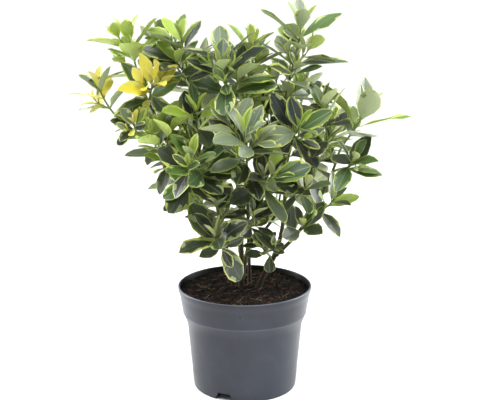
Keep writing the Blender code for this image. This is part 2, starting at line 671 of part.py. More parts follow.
def main():
    for old in list(bpy.data.objects):
        bpy.data.objects.remove(old)
    room = Room()
    for body in (make_pot(), make_soil()):
        faces = [tuple(face.vertices) for face in body.data.polygons]
        room.add(body.name, [vertex.co for vertex in body.data.vertices], faces)
    limbs = lay_out_limbs()
    for name, (points, ways, radii, sides, plane) in limbs.items():
        turn = math.radians(MASSES[name][4]) if name in MASSES else None
        shape = tube(points, ways, radii, sides, plane, turn)
        room.add(name, *shape)
        if name in STEMS or name in BOUGHS:
            add_object(name, *shape, "bark" if name in STEMS else "green_bough")
    draws = {name: random.Random(row[6]) for name, row in MASSES.items()}
    turns = {name: math.radians(row[4]) for name, row in MASSES.items()}
    twigs = {}
    for name, row in MASSES.items():
        twigs[name] = grow_side_twigs(room, name, limbs[name], row[5], turns[name], draws[name])
    for name, row in MASSES.items():
        points, ways, radii, sides, plane = limbs[name]
        shoots = [(points, ways, 0, BARE_FOOT)]
        shoots += [(twig[0], twig[1], 1, BARE_FOOT) for twig in twigs[name]]
        leaves = grow_leaves(room, name, shoots, row[3], turns[name], draws[name])
        mass = add_object(name, *tube(points, ways, radii, sides, plane, turns[name]),
                          TINTS.get(name, "leaf_green"))
        pieces = [
            add_object("twig", *tube(*twig, SHOOT_SIDES, turn=turns[name])) for twig in twigs[name]
        ]
        pieces += [add_object("leaf", *leaf_shape(*leaf)) for leaf in leaves]
        apply_boolean(mass, "UNION", pieces)
        keep_largest_shell(mass)
        print(name, len(leaves), "leaves", len(twigs[name]), "twigs", len(mass.data.polygons), "faces")


main()
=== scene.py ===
# %% [markdown]
# A variegated spindle shrub in its nursery pot.
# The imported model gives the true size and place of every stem, bough, mass of foliage and the pot.
# This lesson keeps that frame still and builds the looks round it: a finely turned pot, peat with
# fibres, limbs with bark, and about a thousand leaves with pale margins.

# %% Load the frame
import itertools
import json
import math
import random
from collections import namedtuple

import bpy
import numpy as np
from mathutils import Matrix, Vector
from mathutils.bvhtree import BVHTree

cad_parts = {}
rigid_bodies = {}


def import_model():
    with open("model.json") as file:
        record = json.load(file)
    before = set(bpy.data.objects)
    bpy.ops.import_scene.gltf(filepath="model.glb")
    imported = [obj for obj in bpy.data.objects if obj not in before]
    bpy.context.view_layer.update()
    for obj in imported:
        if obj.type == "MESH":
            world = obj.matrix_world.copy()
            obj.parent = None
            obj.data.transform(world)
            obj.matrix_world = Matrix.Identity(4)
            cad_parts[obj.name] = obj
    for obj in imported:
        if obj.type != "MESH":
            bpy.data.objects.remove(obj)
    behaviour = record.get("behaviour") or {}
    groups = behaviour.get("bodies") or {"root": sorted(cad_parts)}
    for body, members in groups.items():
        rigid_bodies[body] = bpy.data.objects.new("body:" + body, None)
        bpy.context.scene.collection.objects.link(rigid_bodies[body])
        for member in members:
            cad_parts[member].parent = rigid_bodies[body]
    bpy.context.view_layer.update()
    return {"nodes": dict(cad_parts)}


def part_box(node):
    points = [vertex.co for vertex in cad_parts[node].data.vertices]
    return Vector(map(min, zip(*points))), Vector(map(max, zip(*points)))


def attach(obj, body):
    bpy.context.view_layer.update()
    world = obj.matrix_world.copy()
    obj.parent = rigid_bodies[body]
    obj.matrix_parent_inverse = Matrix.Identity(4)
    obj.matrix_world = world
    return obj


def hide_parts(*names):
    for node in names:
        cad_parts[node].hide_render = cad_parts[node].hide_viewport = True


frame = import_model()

# %% [markdown]
# The camera comes first, because every later choice is judged through it. The plant was shown from
# the front, a little above its middle, through a long lens, so its pot rim is a slim ellipse. A
# camera could also be aimed with a constraint, but a plain place and tilt are easier to read.

# %% Camera
CAMERA_PLACE = (0.0076, -1.53, 0.6486)
CAMERA_TILT = 13.71
LENS = 80.28
SENSOR = 36.0


def add_object(name, data):
    """An object for a mesh, lamp or camera, put into the scene."""
    made = bpy.data.objects.new(name, data)
    bpy.context.scene.collection.objects.link(made)
    return made


def make_camera():
    """A camera on the front side, tilted down by CAMERA_TILT degrees."""
    camera = add_object("camera", bpy.data.cameras.new("camera"))
    camera.data.lens = LENS
    camera.data.sensor_width = SENSOR
    camera.location = CAMERA_PLACE
    camera.rotation_euler = (math.radians(90.0 - CAMERA_TILT), 0.0, 0.0)
    bpy.context.scene.camera = camera
    return camera


print("camera at", tuple(make_camera().location))

# %% [markdown]
# Every piece below is a surface worked out with numpy: a grid of points, and the faces between its
# rows and columns. Writing the whole array into a mesh at once is much faster than adding vertices
# one by one, and the formula stays in view. These helpers turn grids into pieces.

# %% Grids and pieces
FULL_TURN = 2.0 * math.pi


def closed_faces(rows, columns):
    """Quads between the rows of a grid whose columns run once round, and a flat cap at each end.

    The quad at row r and column c joins (r, c), (r, c+1), (r+1, c+1) and (r+1, c).
    """
    row = np.arange(rows - 1)[:, None] * columns
    column = np.arange(columns)[None, :]
    following = (column + 1) % columns
    corners = (row + column, row + following, row + columns + following, row + columns + column)
    last = (rows - 1) * columns
    caps = [list(range(columns - 1, -1, -1)), list(range(last, last + columns))]
    return np.stack(corners, axis=-1).reshape(-1, 4).tolist() + caps


def shifted(faces, starts):
    """The faces once for each start number, which is added to their corner numbers."""
    return [[corner + start for corner in face] for start in starts for face in faces]


def plain_object(name, points, faces):
    """A mesh object from an array of points and lists of corner numbers."""
    mesh = bpy.data.meshes.new(name)
    mesh.from_pydata(np.asarray(points).reshape(-1, 3).tolist(), [], faces)
    return add_object(name, mesh)


def smooth(mesh, sharp):
    """Smooth shading, with edges that turn by more than sharp degrees kept crisp."""
    mesh.shade_smooth()
    mesh.set_sharp_from_angle(angle=math.radians(sharp))


def make_piece(name, points, faces, materials, sharp=40.0, slots=None, uv=None):
    """A piece at the origin that rides on the plant's one body.

    slots gives each face its material by number, and uv each corner its place on the surface.
    """
    piece = plain_object(name, points, faces)
    mesh = piece.data
    for material in materials:
        mesh.materials.append(material)
    if slots is not None:
        mesh.polygons.foreach_set("material_index", np.asarray(slots, dtype=np.int32))
    if uv is not None:
        layer = mesh.uv_layers.new(name="surface")
        layer.data.foreach_set("uv", np.asarray(uv, dtype=np.float32).ravel())
    smooth(mesh, sharp)
    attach(piece, "root")
    return piece


print("a grid of 2 by 3 points that runs round has", len(closed_faces(2, 3)), "faces with its caps")

# %% [markdown]
# Peat, bark and leaf edges are all a little uneven. A smooth random field gives that: random values
# on a lattice of cubes, blended between the corners. Blender's own noise node does the same inside
# a material, but here the numbers move real points.

# %% Smooth noise
MIX_NUMBERS = (374761393, 668265263, 2246822519, 3266489917, 1274126177)


def lattice_noise(points, size, seed):
    """Noise from -1 to 1: a value per lattice corner, blended by 3t^2 - 2t^3 inside each cell."""
    scaled = np.asarray(points, dtype=float) / size
    cell = np.floor(scaled).astype(np.int64)
    part = scaled - cell
    blend = part * part * (3.0 - 2.0 * part)
    total = np.zeros(scaled.shape[:-1])
    for corner in np.ndindex(2, 2, 2):
        place = (cell + np.array(corner)).astype(np.uint64)
        number = np.full(place.shape[:-1], seed * MIX_NUMBERS[3], dtype=np.uint64)
        for axis in range(3):
            number += place[..., axis] * np.uint64(MIX_NUMBERS[axis])
        number = (number ^ (number >> np.uint64(13))) * np.uint64(MIX_NUMBERS[4])
        value = ((number >> np.uint64(16)) & np.uint64(0xFFFF)) / 65535.0
        total += value * np.prod(np.where(corner, blend, 1.0 - blend), axis=-1)
    return total * 2.0 - 1.0


print("noise at two points:", lattice_noise([[0.1, 0.2, 0.3], [1.5, 0.2, 7.0]], 1.0, 1))

# %% [markdown]
# Now the finishes. A material is a tree of nodes, which could be wired by hand in the shader editor.
# In a script the same few moves come back for every node: add it, set it, link it. These helpers
# make each of those moves one short call.

# %% Nodes
def fill(tree, node, inputs):
    """Link each named or numbered input of a node to a socket, or give it a plain value."""
    for label, value in inputs.items():
        if isinstance(value, bpy.types.NodeSocket):
            tree.links.new(value, node.inputs[label])
        else:
            node.inputs[label].default_value = value
    return node


def add_node(tree, kind, inputs, **settings):
    """A shader node of a kind, with its settings and inputs."""
    node = tree.nodes.new("ShaderNode" + kind)
    for label, value in settings.items():
        setattr(node, label, value)
    return fill(tree, node, inputs)


def add_math(tree, operation, *values):
    """The output of a math node on sockets or plain numbers."""
    return add_node(tree, "Math", dict(enumerate(values)), operation=operation).outputs[0]


def held(tree, value, low, high):
    """A value held between two numbers: the larger of low and the smaller of value and high."""
    return add_math(tree, "MAXIMUM", add_math(tree, "MINIMUM", value, high), low)


def add_noise(tree, vector, scale, detail):
    """The value of a noise texture on a vector."""
    return add_node(tree, "TexNoise", {"Vector": vector, "Scale": scale, "Detail": detail}).outputs["Fac"]


def object_place(tree):
    """The place on the piece, in metres from the origin."""
    return add_node(tree, "TexCoord", {}).outputs["Object"]


def surface_place(tree):
    """The place on the piece's own surface map."""
    return add_node(tree, "UVMap", {}, uv_map="surface").outputs["UV"]


def apart(tree, vector):
    """The x, y and z of a vector."""
    return add_node(tree, "SeparateXYZ", {0: vector}).outputs


print("helpers make any shader node, such as", bpy.types.ShaderNodeMath.bl_rna.name)

# %% [markdown]
# Most finishes share a few effects, so each effect is a node group with named sockets: a mottling
# mask, a fine grain for bumps, and the skin of a leaf with its veins. The groups put out only masks
# and heights. The shader stays in each material, where its plain values are set.

# %% Node groups
def new_group(name, inputs, output):
    """An empty node group with float sockets, {name: default} in and one name out."""
    group = bpy.data.node_groups.new(name, "ShaderNodeTree")
    for label, default in inputs.items():
        socket = group.interface.new_socket(label, in_out="INPUT", socket_type="NodeSocketFloat")
        socket.default_value = default
    group.interface.new_socket(output, in_out="OUTPUT", socket_type="NodeSocketFloat")
    return group, group.nodes.new("NodeGroupInput").outputs, group.nodes.new("NodeGroupOutput")


def make_mottling():
    """Mask = (noise on the object's place - Level) * Contrast + 0.5, held between 0 and 1."""
    inputs = {"Scale": 40.0, "Level": 0.5, "Contrast": 4.0, "Stretch": 1.0}
    group, given, result = new_group("mottling", inputs, "Mask")
    stretch = add_node(group, "CombineXYZ", {0: 1.0, 1: 1.0, 2: given["Stretch"]}).outputs[0]
    place = add_node(group, "VectorMath", {0: object_place(group), 1: stretch}, operation="MULTIPLY")
    noise = add_noise(group, place.outputs[0], given["Scale"], 4.0)
    level = add_math(group, "SUBTRACT", noise, given["Level"])
    spread = add_math(group, "MULTIPLY_ADD", level, given["Contrast"], 0.5)
    fill(group, result, {"Mask": held(group, spread, 0.0, 1.0)})
    return group


def make_grain():
    """Height = fine noise + half of one 3.1 times finer, both on the object's place."""
    group, given, result = new_group("fine_grain", {"Scale": 900.0}, "Height")
    place = object_place(group)
    coarse = add_noise(group, place, given["Scale"], 2.0)
    finer = add_noise(group, place, add_math(group, "MULTIPLY", given["Scale"], 3.1), 2.0)
    fill(group, result, {"Height": add_math(group, "MULTIPLY_ADD", finer, 0.5, coarse)})
    return group


def make_leaf_skin():
    """Relief of a leaf, read from its own surface map (x along it, y across it, 0 to 1).

    Height = Veins * a ridge along each side vein, which leaves the midrib at a slant, plus
    Leather * smooth noise on the object's place, so that the sheen breaks up softly.
    """
    group, given, result = new_group("leaf_skin", {"Veins": 1.0, "Leather": 1.0}, "Height")
    along, across, _ = apart(group, surface_place(group))
    off_rib = add_math(group, "ABSOLUTE", add_math(group, "SUBTRACT", across, 0.5))
    slant = add_math(group, "MULTIPLY_ADD", off_rib, -1.1, along)
    wave = add_math(group, "SINE", add_math(group, "MULTIPLY", slant, 46.0))
    ridge = add_math(group, "POWER", add_math(group, "MULTIPLY_ADD", wave, 0.5, 0.5), 6.0)
    broad = add_noise(group, object_place(group), 130.0, 2.0)
    leather = add_math(group, "MULTIPLY", broad, given["Leather"])
    veins = add_math(group, "MULTIPLY", ridge, given["Veins"])
    fill(group, result, {"Height": add_math(group, "ADD", veins, leather)})
    return group


MOTTLING, GRAIN, LEAF_SKIN = make_mottling(), make_grain(), make_leaf_skin()
print("node groups:", [group.name for group in (MOTTLING, GRAIN, LEAF_SKIN)])

# %% [markdown]
# A finish is a Principled shader with a few of those groups in front of it. Colours are easiest to
# name as they look on a screen, from 0 to 255, and the function screen turns them into the linear
# values that the shader wants.

# %% Material helpers
def screen(red, green, blue):
    """Linear colour of a screen colour: ((c + 0.055) / 1.055)^2.4, or c / 12.92 where it is dark."""
    shares = np.array([red, green, blue]) / 255.0
    linear = np.where(shares > 0.04045, ((shares + 0.055) / 1.055) ** 2.4, shares / 12.92)
    return (*(float(part) for part in linear), 1.0)


def new_material(name, colour, roughness, specular=0.5):
    """A material, its node tree and its Principled shader."""
    material = bpy.data.materials.new(name)
    material.use_nodes = True
    material.diffuse_color = colour
    tree = material.node_tree
    inputs = {"Base Color": colour, "Roughness": roughness, "Specular IOR Level": specular}
    return material, tree, fill(tree, tree.nodes["Principled BSDF"], inputs)


def mottled(tree, **values):
    """The mask of a mottling group with its own values."""
    return add_node(tree, "Group", values, node_tree=MOTTLING).outputs[0]


def mix_colours(tree, mask, first, second):
    """A colour between first and second by a mask. Either may be a colour or a socket.

    A Mix node has sockets for every kind of value: 0 is the mask, 6 and 7 are the two colours.
    """
    return add_node(tree, "Mix", {0: mask, 6: first, 7: second}, data_type="RGBA").outputs[2]


def add_bump(tree, shader, height, strength, distance):
    """Relief for a shader from a height socket."""
    bump = add_node(tree, "Bump", {"Strength": strength, "Distance": distance, "Height": height})
    fill(tree, shader, {"Normal": bump.outputs["Normal"]})


def add_grain(tree, shader, scale, strength, distance):
    """Relief for a shader from the fine grain."""
    grain = add_node(tree, "Group", {"Scale": scale}, node_tree=GRAIN)
    add_bump(tree, shader, grain.outputs[0], strength, distance)


print("a dark leaf green is", [round(part, 4) for part in screen(44, 64, 40)])

# %% [markdown]
# The pot is thin injection-moulded plastic: a tapered wall, a stepped band below a rolled lip, and
# three raised channels under the floor that end in notches. It could be modelled by hand from a
# cylinder, but a turned profile gives every radius its real size. The profile's round stretches are
# arcs and smooth steps.

# %% Pot profile
FOOT_RADIUS = 0.0738
FOOT_ROUNDING = 0.0018
WALL_TOP = (0.0829, 0.0975)
BAND_LOW = (0.0892, 0.1122)
BAND_HIGH = (0.0928, 0.1345)
BAND_BEAD = 0.0007
LIP_RADIUS = 0.0958
LIP_FLARE_TOP = 0.1480
LIP_ROUNDING = 0.0012
LIP_THICKNESS = 0.0026
POT_HEIGHT = 0.1510
POT_WALL = 0.0015
POT_FLOOR = 0.0020
POT_MIDDLE = 0.030
UNDER_RING = 0.012
WALL_RINGS = (0.006, 0.050)
POT_TURNS = 160


def arc(centre, radius, start, end, count):
    """Points (r, z) on a circle round centre, from one angle in degrees to another."""
    angles = np.radians(np.linspace(start, end, count))
    return np.stack([centre[0] + radius * np.cos(angles), centre[1] + radius * np.sin(angles)], axis=1)


def smooth_step(low, high, count):
    """Points from low to high whose radius follows 3t^2 - 2t^3 while the height rises evenly."""
    t = np.linspace(0.0, 1.0, count)
    rise = t * t * (3.0 - 2.0 * t)
    return np.stack([low[0] + (high[0] - low[0]) * rise, low[1] + (high[1] - low[1]) * t], axis=1)


def pot_profile():
    """The pot's section from the middle of its underside, up outside, over the lip and down inside.

    The wall's radius grows evenly with height, with rings at WALL_RINGS and close below its top, so
    that the smooth shading turns only there. A bead of BAND_BEAD rounds the band's lower edge.
    """
    under = [(POT_MIDDLE, 0.0), (FOOT_RADIUS - UNDER_RING, 0.0)]
    foot = arc((FOOT_RADIUS - FOOT_ROUNDING, FOOT_ROUNDING), FOOT_ROUNDING, -90.0, 0.0, 7)
    (wall, top), (band, low) = WALL_TOP, BAND_LOW
    lean = (wall - FOOT_RADIUS) / top
    outside = [(FOOT_RADIUS + lean * z, z) for z in (*WALL_RINGS, top - 0.014, top - 0.010)]
    outside += [(wall - 0.0001, top - 0.0030), (wall + 0.0008, top + 0.0012)]
    outside += [(band - BAND_BEAD, low - 2.0 * BAND_BEAD), (band, low - BAND_BEAD)]
    outside += [(band + 0.0001, low), (band, low + BAND_BEAD)]
    flare = smooth_step(BAND_HIGH, (LIP_RADIUS, LIP_FLARE_TOP), 9)
    lip_height, inner = POT_HEIGHT - LIP_ROUNDING, LIP_RADIUS - LIP_THICKNESS
    lip = arc((LIP_RADIUS - LIP_ROUNDING, lip_height), LIP_ROUNDING, 0.0, 90.0, 6)
    inner_lip = arc((inner + LIP_ROUNDING, lip_height), LIP_ROUNDING, 90.0, 180.0, 6)
    inside = [(radius - POT_WALL, height) for radius, height in (BAND_HIGH, BAND_LOW, WALL_TOP)]
    inside += [(FOOT_RADIUS - POT_WALL, POT_FLOOR + 0.004)]
    inside += [(FOOT_RADIUS - POT_WALL - FOOT_ROUNDING, POT_FLOOR), (POT_MIDDLE, POT_FLOOR)]
    return np.vstack([under, foot, outside, flare, lip, inner_lip, inside])


def turned(profile, turns):
    """Points on a solid turned round Z: (r cos a, r sin a, z) for each (r, z) and each angle a."""
    angles = np.linspace(0.0, FULL_TURN, turns, endpoint=False)
    radius, height = profile[:, :1], profile[:, 1:]
    return np.stack([radius * np.cos(angles), radius * np.sin(angles), height + 0.0 * angles], axis=-1)


print("the pot's section has", len(pot_profile()), "points")

# %% [markdown]
# The channels are three wedges of trapezoid section under the floor. Each has a thin roof, joined to
# the pot, and an opening cut through floor and wall, with a round drain in its roof. They could be
# moulded into the profile's grid, but Booleans keep their straight sides true. The cutters are
# removed once they have done their work.

# %% Channels and drains
CHANNEL_BEARING = -113.2
CHANNEL_COUNT = 3
CHANNEL_START = 0.030
CHANNEL_LOW = 0.0290
CHANNEL_HIGH = 0.0180
CHANNEL_HEIGHT = 0.0110
DRAIN_RADIUS = 0.0050
DRAIN_REACH = (0.006, 0.030)
DRAIN_PLACE = 0.047
DRAIN_TURNS = 24
BEYOND_WALL = 0.110
BELOW_POT = 0.010


def channel_wedge(name, bearing, spare, under):
    """A straight prism on a bearing: a trapezoid, wider below, run from CHANNEL_START outwards."""
    low, high, top = CHANNEL_LOW / 2.0 + spare, CHANNEL_HIGH / 2.0 + spare, CHANNEL_HEIGHT + spare
    foot = high + (low - high) * (top - under) / top
    across = np.array([-foot, foot, high, -high])
    up = np.array([under, under, top, top])
    cos, sin = math.cos(math.radians(bearing)), math.sin(math.radians(bearing))
    along = np.array([[CHANNEL_START - spare], [BEYOND_WALL]])
    x = along * cos - across * sin
    return plain_object(name, np.stack([x, along * sin + across * cos, up + 0.0 * x], -1), closed_faces(2, 4))


def drum(name, radius, low, high, turns, away=0.0):
    """A closed cylinder round Z between two heights, moved by away."""
    points = turned(np.array([[radius, low], [radius, high]]), turns) + away
    return plain_object(name, points, closed_faces(2, turns))


def cut(body, operation, others):
    """Join or cut other meshes with body by Blender's exact solver, then remove them."""
    group = bpy.data.collections.new("cutters")
    bpy.context.scene.collection.children.link(group)
    for other in others:
        bpy.context.scene.collection.objects.unlink(other)
        group.objects.link(other)
    step = body.modifiers.new(operation.title(), "BOOLEAN")
    step.operation = operation
    step.operand_type = "COLLECTION"
    step.collection = group
    step.solver = "EXACT"
    made = bpy.data.meshes.new_from_object(body.evaluated_get(bpy.context.evaluated_depsgraph_get()))
    body.modifiers.remove(step)
    body.data = made
    for other in list(group.objects):
        bpy.data.objects.remove(other)
    bpy.data.collections.remove(group)


def carve_channels(pot):
    """Add the three channel roofs, then open the channels and their drains."""
    bearings = [CHANNEL_BEARING + 360.0 * step / CHANNEL_COUNT for step in range(CHANNEL_COUNT)]
    roofs = [channel_wedge("roof", bearing, POT_WALL, POT_FLOOR * 0.75) for bearing in bearings]
    for roof in roofs:
        reach = FOOT_RADIUS - POT_WALL / 2.0
        cut(roof, "INTERSECT", [drum("drum", reach, -POT_FLOOR, BEYOND_WALL, POT_TURNS)])
    cut(pot, "UNION", roofs)
    cut(pot, "DIFFERENCE", [channel_wedge("gap", bearing, 0.0, -BELOW_POT) for bearing in bearings])
    drains = []
    for bearing in np.radians(bearings):
        away = np.array([math.cos(bearing), math.sin(bearing), 0.0]) * DRAIN_PLACE
        drains.append(drum("drain", DRAIN_RADIUS, *DRAIN_REACH, DRAIN_TURNS, away))
    cut(pot, "DIFFERENCE", drains)


print(CHANNEL_COUNT, "channels, the first at", CHANNEL_BEARING, "degrees")

# %% [markdown]
# The plastic is a dark blue grey. It is matt enough to blur the windows of a studio into soft bands,
# and handling leaves it with faint scuffs and dried specks of peat near the rim. Pale lines on the lip
# and along the band's lower edge are painted highlights. All of that is read from Object coordinates,
# so it stays in place.

# %% Pot material and piece
# Painted highlights start at this height on the lip, and run this wide at the band's lower edge
LIP_HIGHLIGHT_FROM = 0.1499
EDGE_LINE = 0.0009
STAIN_RISE = (30.0, -3.8)


def make_plastic(name, dark, light, scuff_share, stain_share):
    """Blue-grey plastic: mottled tones, faint pale scuffs, peat stains near the rim, uneven gloss.

    The stains' share is 30 * height - 3.8, held between 0.06 and 1. Painted highlights, pale lines,
    lie on the lip above LIP_HIGHLIGHT_FROM and within EDGE_LINE of the band's lower edge.
    """
    material, tree, shader = new_material(name, dark, 0.36, 0.38)
    tone = mottled(tree, Scale=10.0, Level=0.5, Contrast=2.4, Stretch=0.7)
    colour = mix_colours(tree, tone, dark, light)
    scuffs = mottled(tree, Scale=60.0, Level=0.66, Contrast=4.0, Stretch=0.9)
    faint = add_math(tree, "MULTIPLY", scuffs, scuff_share)
    colour = mix_colours(tree, faint, colour, screen(132, 136, 140))
    height = apart(tree, object_place(tree))[2]
    near_rim = held(tree, add_math(tree, "MULTIPLY_ADD", height, *STAIN_RISE), 0.06, 1.0)
    specks = mottled(tree, Scale=420.0, Level=0.70, Contrast=14.0)
    stain = add_math(tree, "MULTIPLY", add_math(tree, "MULTIPLY", specks, near_rim), stain_share)
    colour = mix_colours(tree, stain, colour, screen(44, 36, 30))
    # Painted highlights: a pale line on the rounded lip and one along the band's lower edge
    lip = add_math(tree, "MULTIPLY_ADD", height, 1400.0, -1400.0 * LIP_HIGHLIGHT_FROM)
    off_edge = add_math(tree, "ABSOLUTE", add_math(tree, "ADD", height, -BAND_LOW[1]))
    edge = add_math(tree, "MULTIPLY_ADD", off_edge, -1.0 / EDGE_LINE, 1.0)
    painted_highlight = held(tree, add_math(tree, "MAXIMUM", lip, add_math(tree, "MULTIPLY", edge, 0.7)), 0.0, 0.8)
    painted_highlight = add_math(tree, "MULTIPLY", painted_highlight, add_math(tree, "MULTIPLY_ADD", tone, 0.5, 0.5))
    smudge = mottled(tree, Scale=22.0, Level=0.5, Contrast=2.0, Stretch=0.8)
    fill(tree, shader, {"Base Color": mix_colours(tree, painted_highlight, colour, screen(104, 110, 122)),
                        "Roughness": add_math(tree, "MULTIPLY_ADD", smudge, 0.12, 0.26)})
    add_grain(tree, shader, 1400.0, 0.08, 0.0002)
    return material


def stain_inside(polygons):
    """Give the second material to faces that look to the pot's axis from the wall's inner side."""
    centres, normals = np.empty((2, len(polygons) * 3))
    polygons.foreach_get("center", centres)
    polygons.foreach_get("normal", normals)
    centres, normals = centres.reshape(-1, 3), normals.reshape(-1, 3)
    inward = -(centres[:, :2] * normals[:, :2]).sum(axis=1) / np.linalg.norm(centres[:, :2], axis=1)
    inside = (inward > 0.5) & (centres[:, 2] > CHANNEL_HEIGHT + POT_WALL)
    polygons.foreach_set("material_index", inside.astype(np.int32))


def make_pot():
    """The turned pot, with its channels cut, in place of the plain solid."""
    clean = make_plastic("pot_plastic", screen(25, 29, 36), screen(45, 50, 61), 0.03, 0.25)
    stained = make_plastic("stained_plastic", screen(24, 23, 24), screen(32, 29, 28), 0.02, 1.0)
    points = turned(pot_profile(), POT_TURNS)
    made = make_piece("nursery_pot", points, closed_faces(len(points), POT_TURNS), [clean, stained])
    carve_channels(made)
    smooth(made.data, 32.0)
    stain_inside(made.data.polygons)
    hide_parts("pot")
    return len(made.data.polygons)


print("the pot has", make_pot(), "faces")

# %% [markdown]
# The peat fills the pot to a finger's breadth below the rim. Its top is a field of heights over a
# round grid: the same broad waves as the solid, plus lumps and crumbs of smooth noise. Near each
# stem it heaps up a little. Below the surface the body is plain, because nothing shows there.

# %% Peat surface
SOIL_TOP = 0.1460
SOIL_BUMP = 0.0022
SOIL_WAVES = (95.0, 80.0, 210.0)
GAP = 0.0003
STEM_FLAT = 0.012
STEM_HEAP = (0.0012, 0.006)
PEAT_EDGE = 0.0906
PEAT_RINGS = 84
PEAT_TURNS = 150
PEAT_LUMPS = ((0.0120, 0.0010, 3), (0.0050, 0.0009, 4), (0.0021, 0.0006, 5))

# Each stem: foot on the soil (x, y), top (x, y, z), radius above the flare, radius at the top
STEMS = {
    "stem_left": ((-0.016, 0.011), (-0.026, 0.012, 0.198), 0.0034, 0.0029),
    "stem_middle": ((-0.005, 0.000), (-0.004, 0.020, 0.273), 0.0038, 0.0029),
    "stem_slim": ((0.007, 0.024), (0.004, 0.060, 0.253), 0.0028, 0.0023),
    "stem_right": ((0.020, -0.003), (0.047, 0.020, 0.198), 0.0042, 0.0036),
    "stem_back": ((-0.004, 0.044), (0.008, 0.088, 0.199), 0.0038, 0.0031),
}


def peat_height(x, y):
    """Height of the peat: crossed waves, then lumps of three sizes, and a rise round each stem."""
    wave = np.sin(SOIL_WAVES[0] * x + 1.3) * np.cos(SOIL_WAVES[1] * y - 0.4)
    wave = wave + 0.5 * np.sin(SOIL_WAVES[2] * (x - y))
    feet = np.array([foot for foot, _, _, _ in STEMS.values()])
    away = np.sqrt((x[..., None] - feet[:, 0]) ** 2 + (y[..., None] - feet[:, 1]) ** 2).min(axis=-1)
    fade = np.clip(away / STEM_FLAT - 1.0, 0.0, 1.0)
    height = SOIL_TOP - GAP - SOIL_BUMP * fade * (0.75 - 0.5 * wave)
    flat = np.stack([x, y, 0.0 * x], axis=-1)
    for size, amount, seed in PEAT_LUMPS:
        height = height + amount * lattice_noise(flat, size, seed)
    return height + STEM_HEAP[0] * np.exp(-away / STEM_HEAP[1])


def peat_points():
    """A round grid that shrinks from the wall to the middle, and a plain side and floor below."""
    floor = (FOOT_RADIUS - POT_WALL - FOOT_ROUNDING - GAP, POT_FLOOR + GAP + CHANNEL_HEIGHT)
    side = [(radius - POT_WALL - GAP, height) for radius, height in (WALL_TOP, BAND_LOW, BAND_HIGH)]
    inwards = np.linspace(1.0, 0.01, PEAT_RINGS)
    top = np.stack([PEAT_EDGE * inwards, SOIL_TOP + 0.0 * inwards], axis=1)
    points = turned(np.vstack([floor, side, top]), PEAT_TURNS)
    surface = points[-PEAT_RINGS:]
    surface[..., 2] = peat_height(surface[..., 0], surface[..., 1])
    return points


print("the peat reaches", round(float(peat_points()[..., 2].max()), 4), "m")

# %% [markdown]
# Crumbs, chips of bark, wood fibres and straw-coloured roots lie on the peat. They could be copies of
# one lump and one thread, but their sameness would show. Each is a small shape of a few faces,
# scattered by a seeded draw and set down on the height that the peat has at its place.

# %% Crumbs and fibres
LUMP_SIZES, LUMP_PUSH, LUMP_STRETCH = (0.5, 1.0), (0.72, 1.25), (0.8, 1.7)
# The twelve corners of an icosahedron lie at turns of (1, golden ratio, 0), brought to a radius of 1
GOLDEN = (1.0 + math.sqrt(5.0)) / 2.0
LUMP_CORNERS = [(-1, GOLDEN, 0), (1, GOLDEN, 0), (-1, -GOLDEN, 0), (1, -GOLDEN, 0)]
LUMP_CORNERS = np.vstack([np.roll(LUMP_CORNERS, turn, axis=1) for turn in range(3)]) / 1.902
LUMP_FACES = ((0, 11, 5), (0, 5, 1), (0, 1, 7), (0, 7, 10), (0, 10, 11), (1, 5, 9), (5, 11, 4),
              (11, 10, 2), (10, 7, 6), (7, 1, 8), (3, 9, 4), (3, 4, 2), (3, 2, 6), (3, 6, 8),
              (3, 8, 9), (4, 9, 5), (2, 4, 11), (6, 2, 10), (8, 6, 7), (9, 8, 1))
FIBRE_STEPS, FIBRE_SIDES = 8, 3
FIBRE_BEND, FIBRE_WIGGLE, FIBRE_LIFTS, FIBRE_THINNING = 2.4, 0.5, (0.2, 1.6), 0.6


def scatter_places(count, seed, reach):
    """Even random places (x, y) on a disc: radius = reach * sqrt(share), any angle."""
    draw = np.random.default_rng(seed)
    radius = reach * np.sqrt(draw.random(count))
    angle = draw.random(count) * FULL_TURN
    return radius * np.cos(angle), radius * np.sin(angle), draw


def crumb_shapes(count, sizes, flatness, seed, reach):
    """Lumps of 20 faces: an icosahedron's corners, pushed in and out, turned and set on the peat."""
    x, y, draw = scatter_places(count, seed, reach)
    size = draw.uniform(*sizes, count) * draw.uniform(*LUMP_SIZES, count)
    lumps = LUMP_CORNERS * draw.uniform(*LUMP_PUSH, (count, 12, 1)) * size[:, None, None]
    stretch = draw.uniform(*LUMP_STRETCH, count)
    lumps *= np.stack([stretch, np.ones(count), np.full(count, flatness)], axis=1)[:, None]
    turn = draw.random(count) * FULL_TURN
    cos, sin = np.cos(turn)[:, None], np.sin(turn)[:, None]
    turned_x = lumps[..., 0] * cos - lumps[..., 1] * sin + x[:, None]
    turned_y = lumps[..., 0] * sin + lumps[..., 1] * cos + y[:, None]
    up = lumps[..., 2] + (peat_height(x, y) + 0.25 * size * flatness)[:, None]
    return np.stack([turned_x, turned_y, up], axis=-1), shifted(LUMP_FACES, range(0, 12 * count, 12))


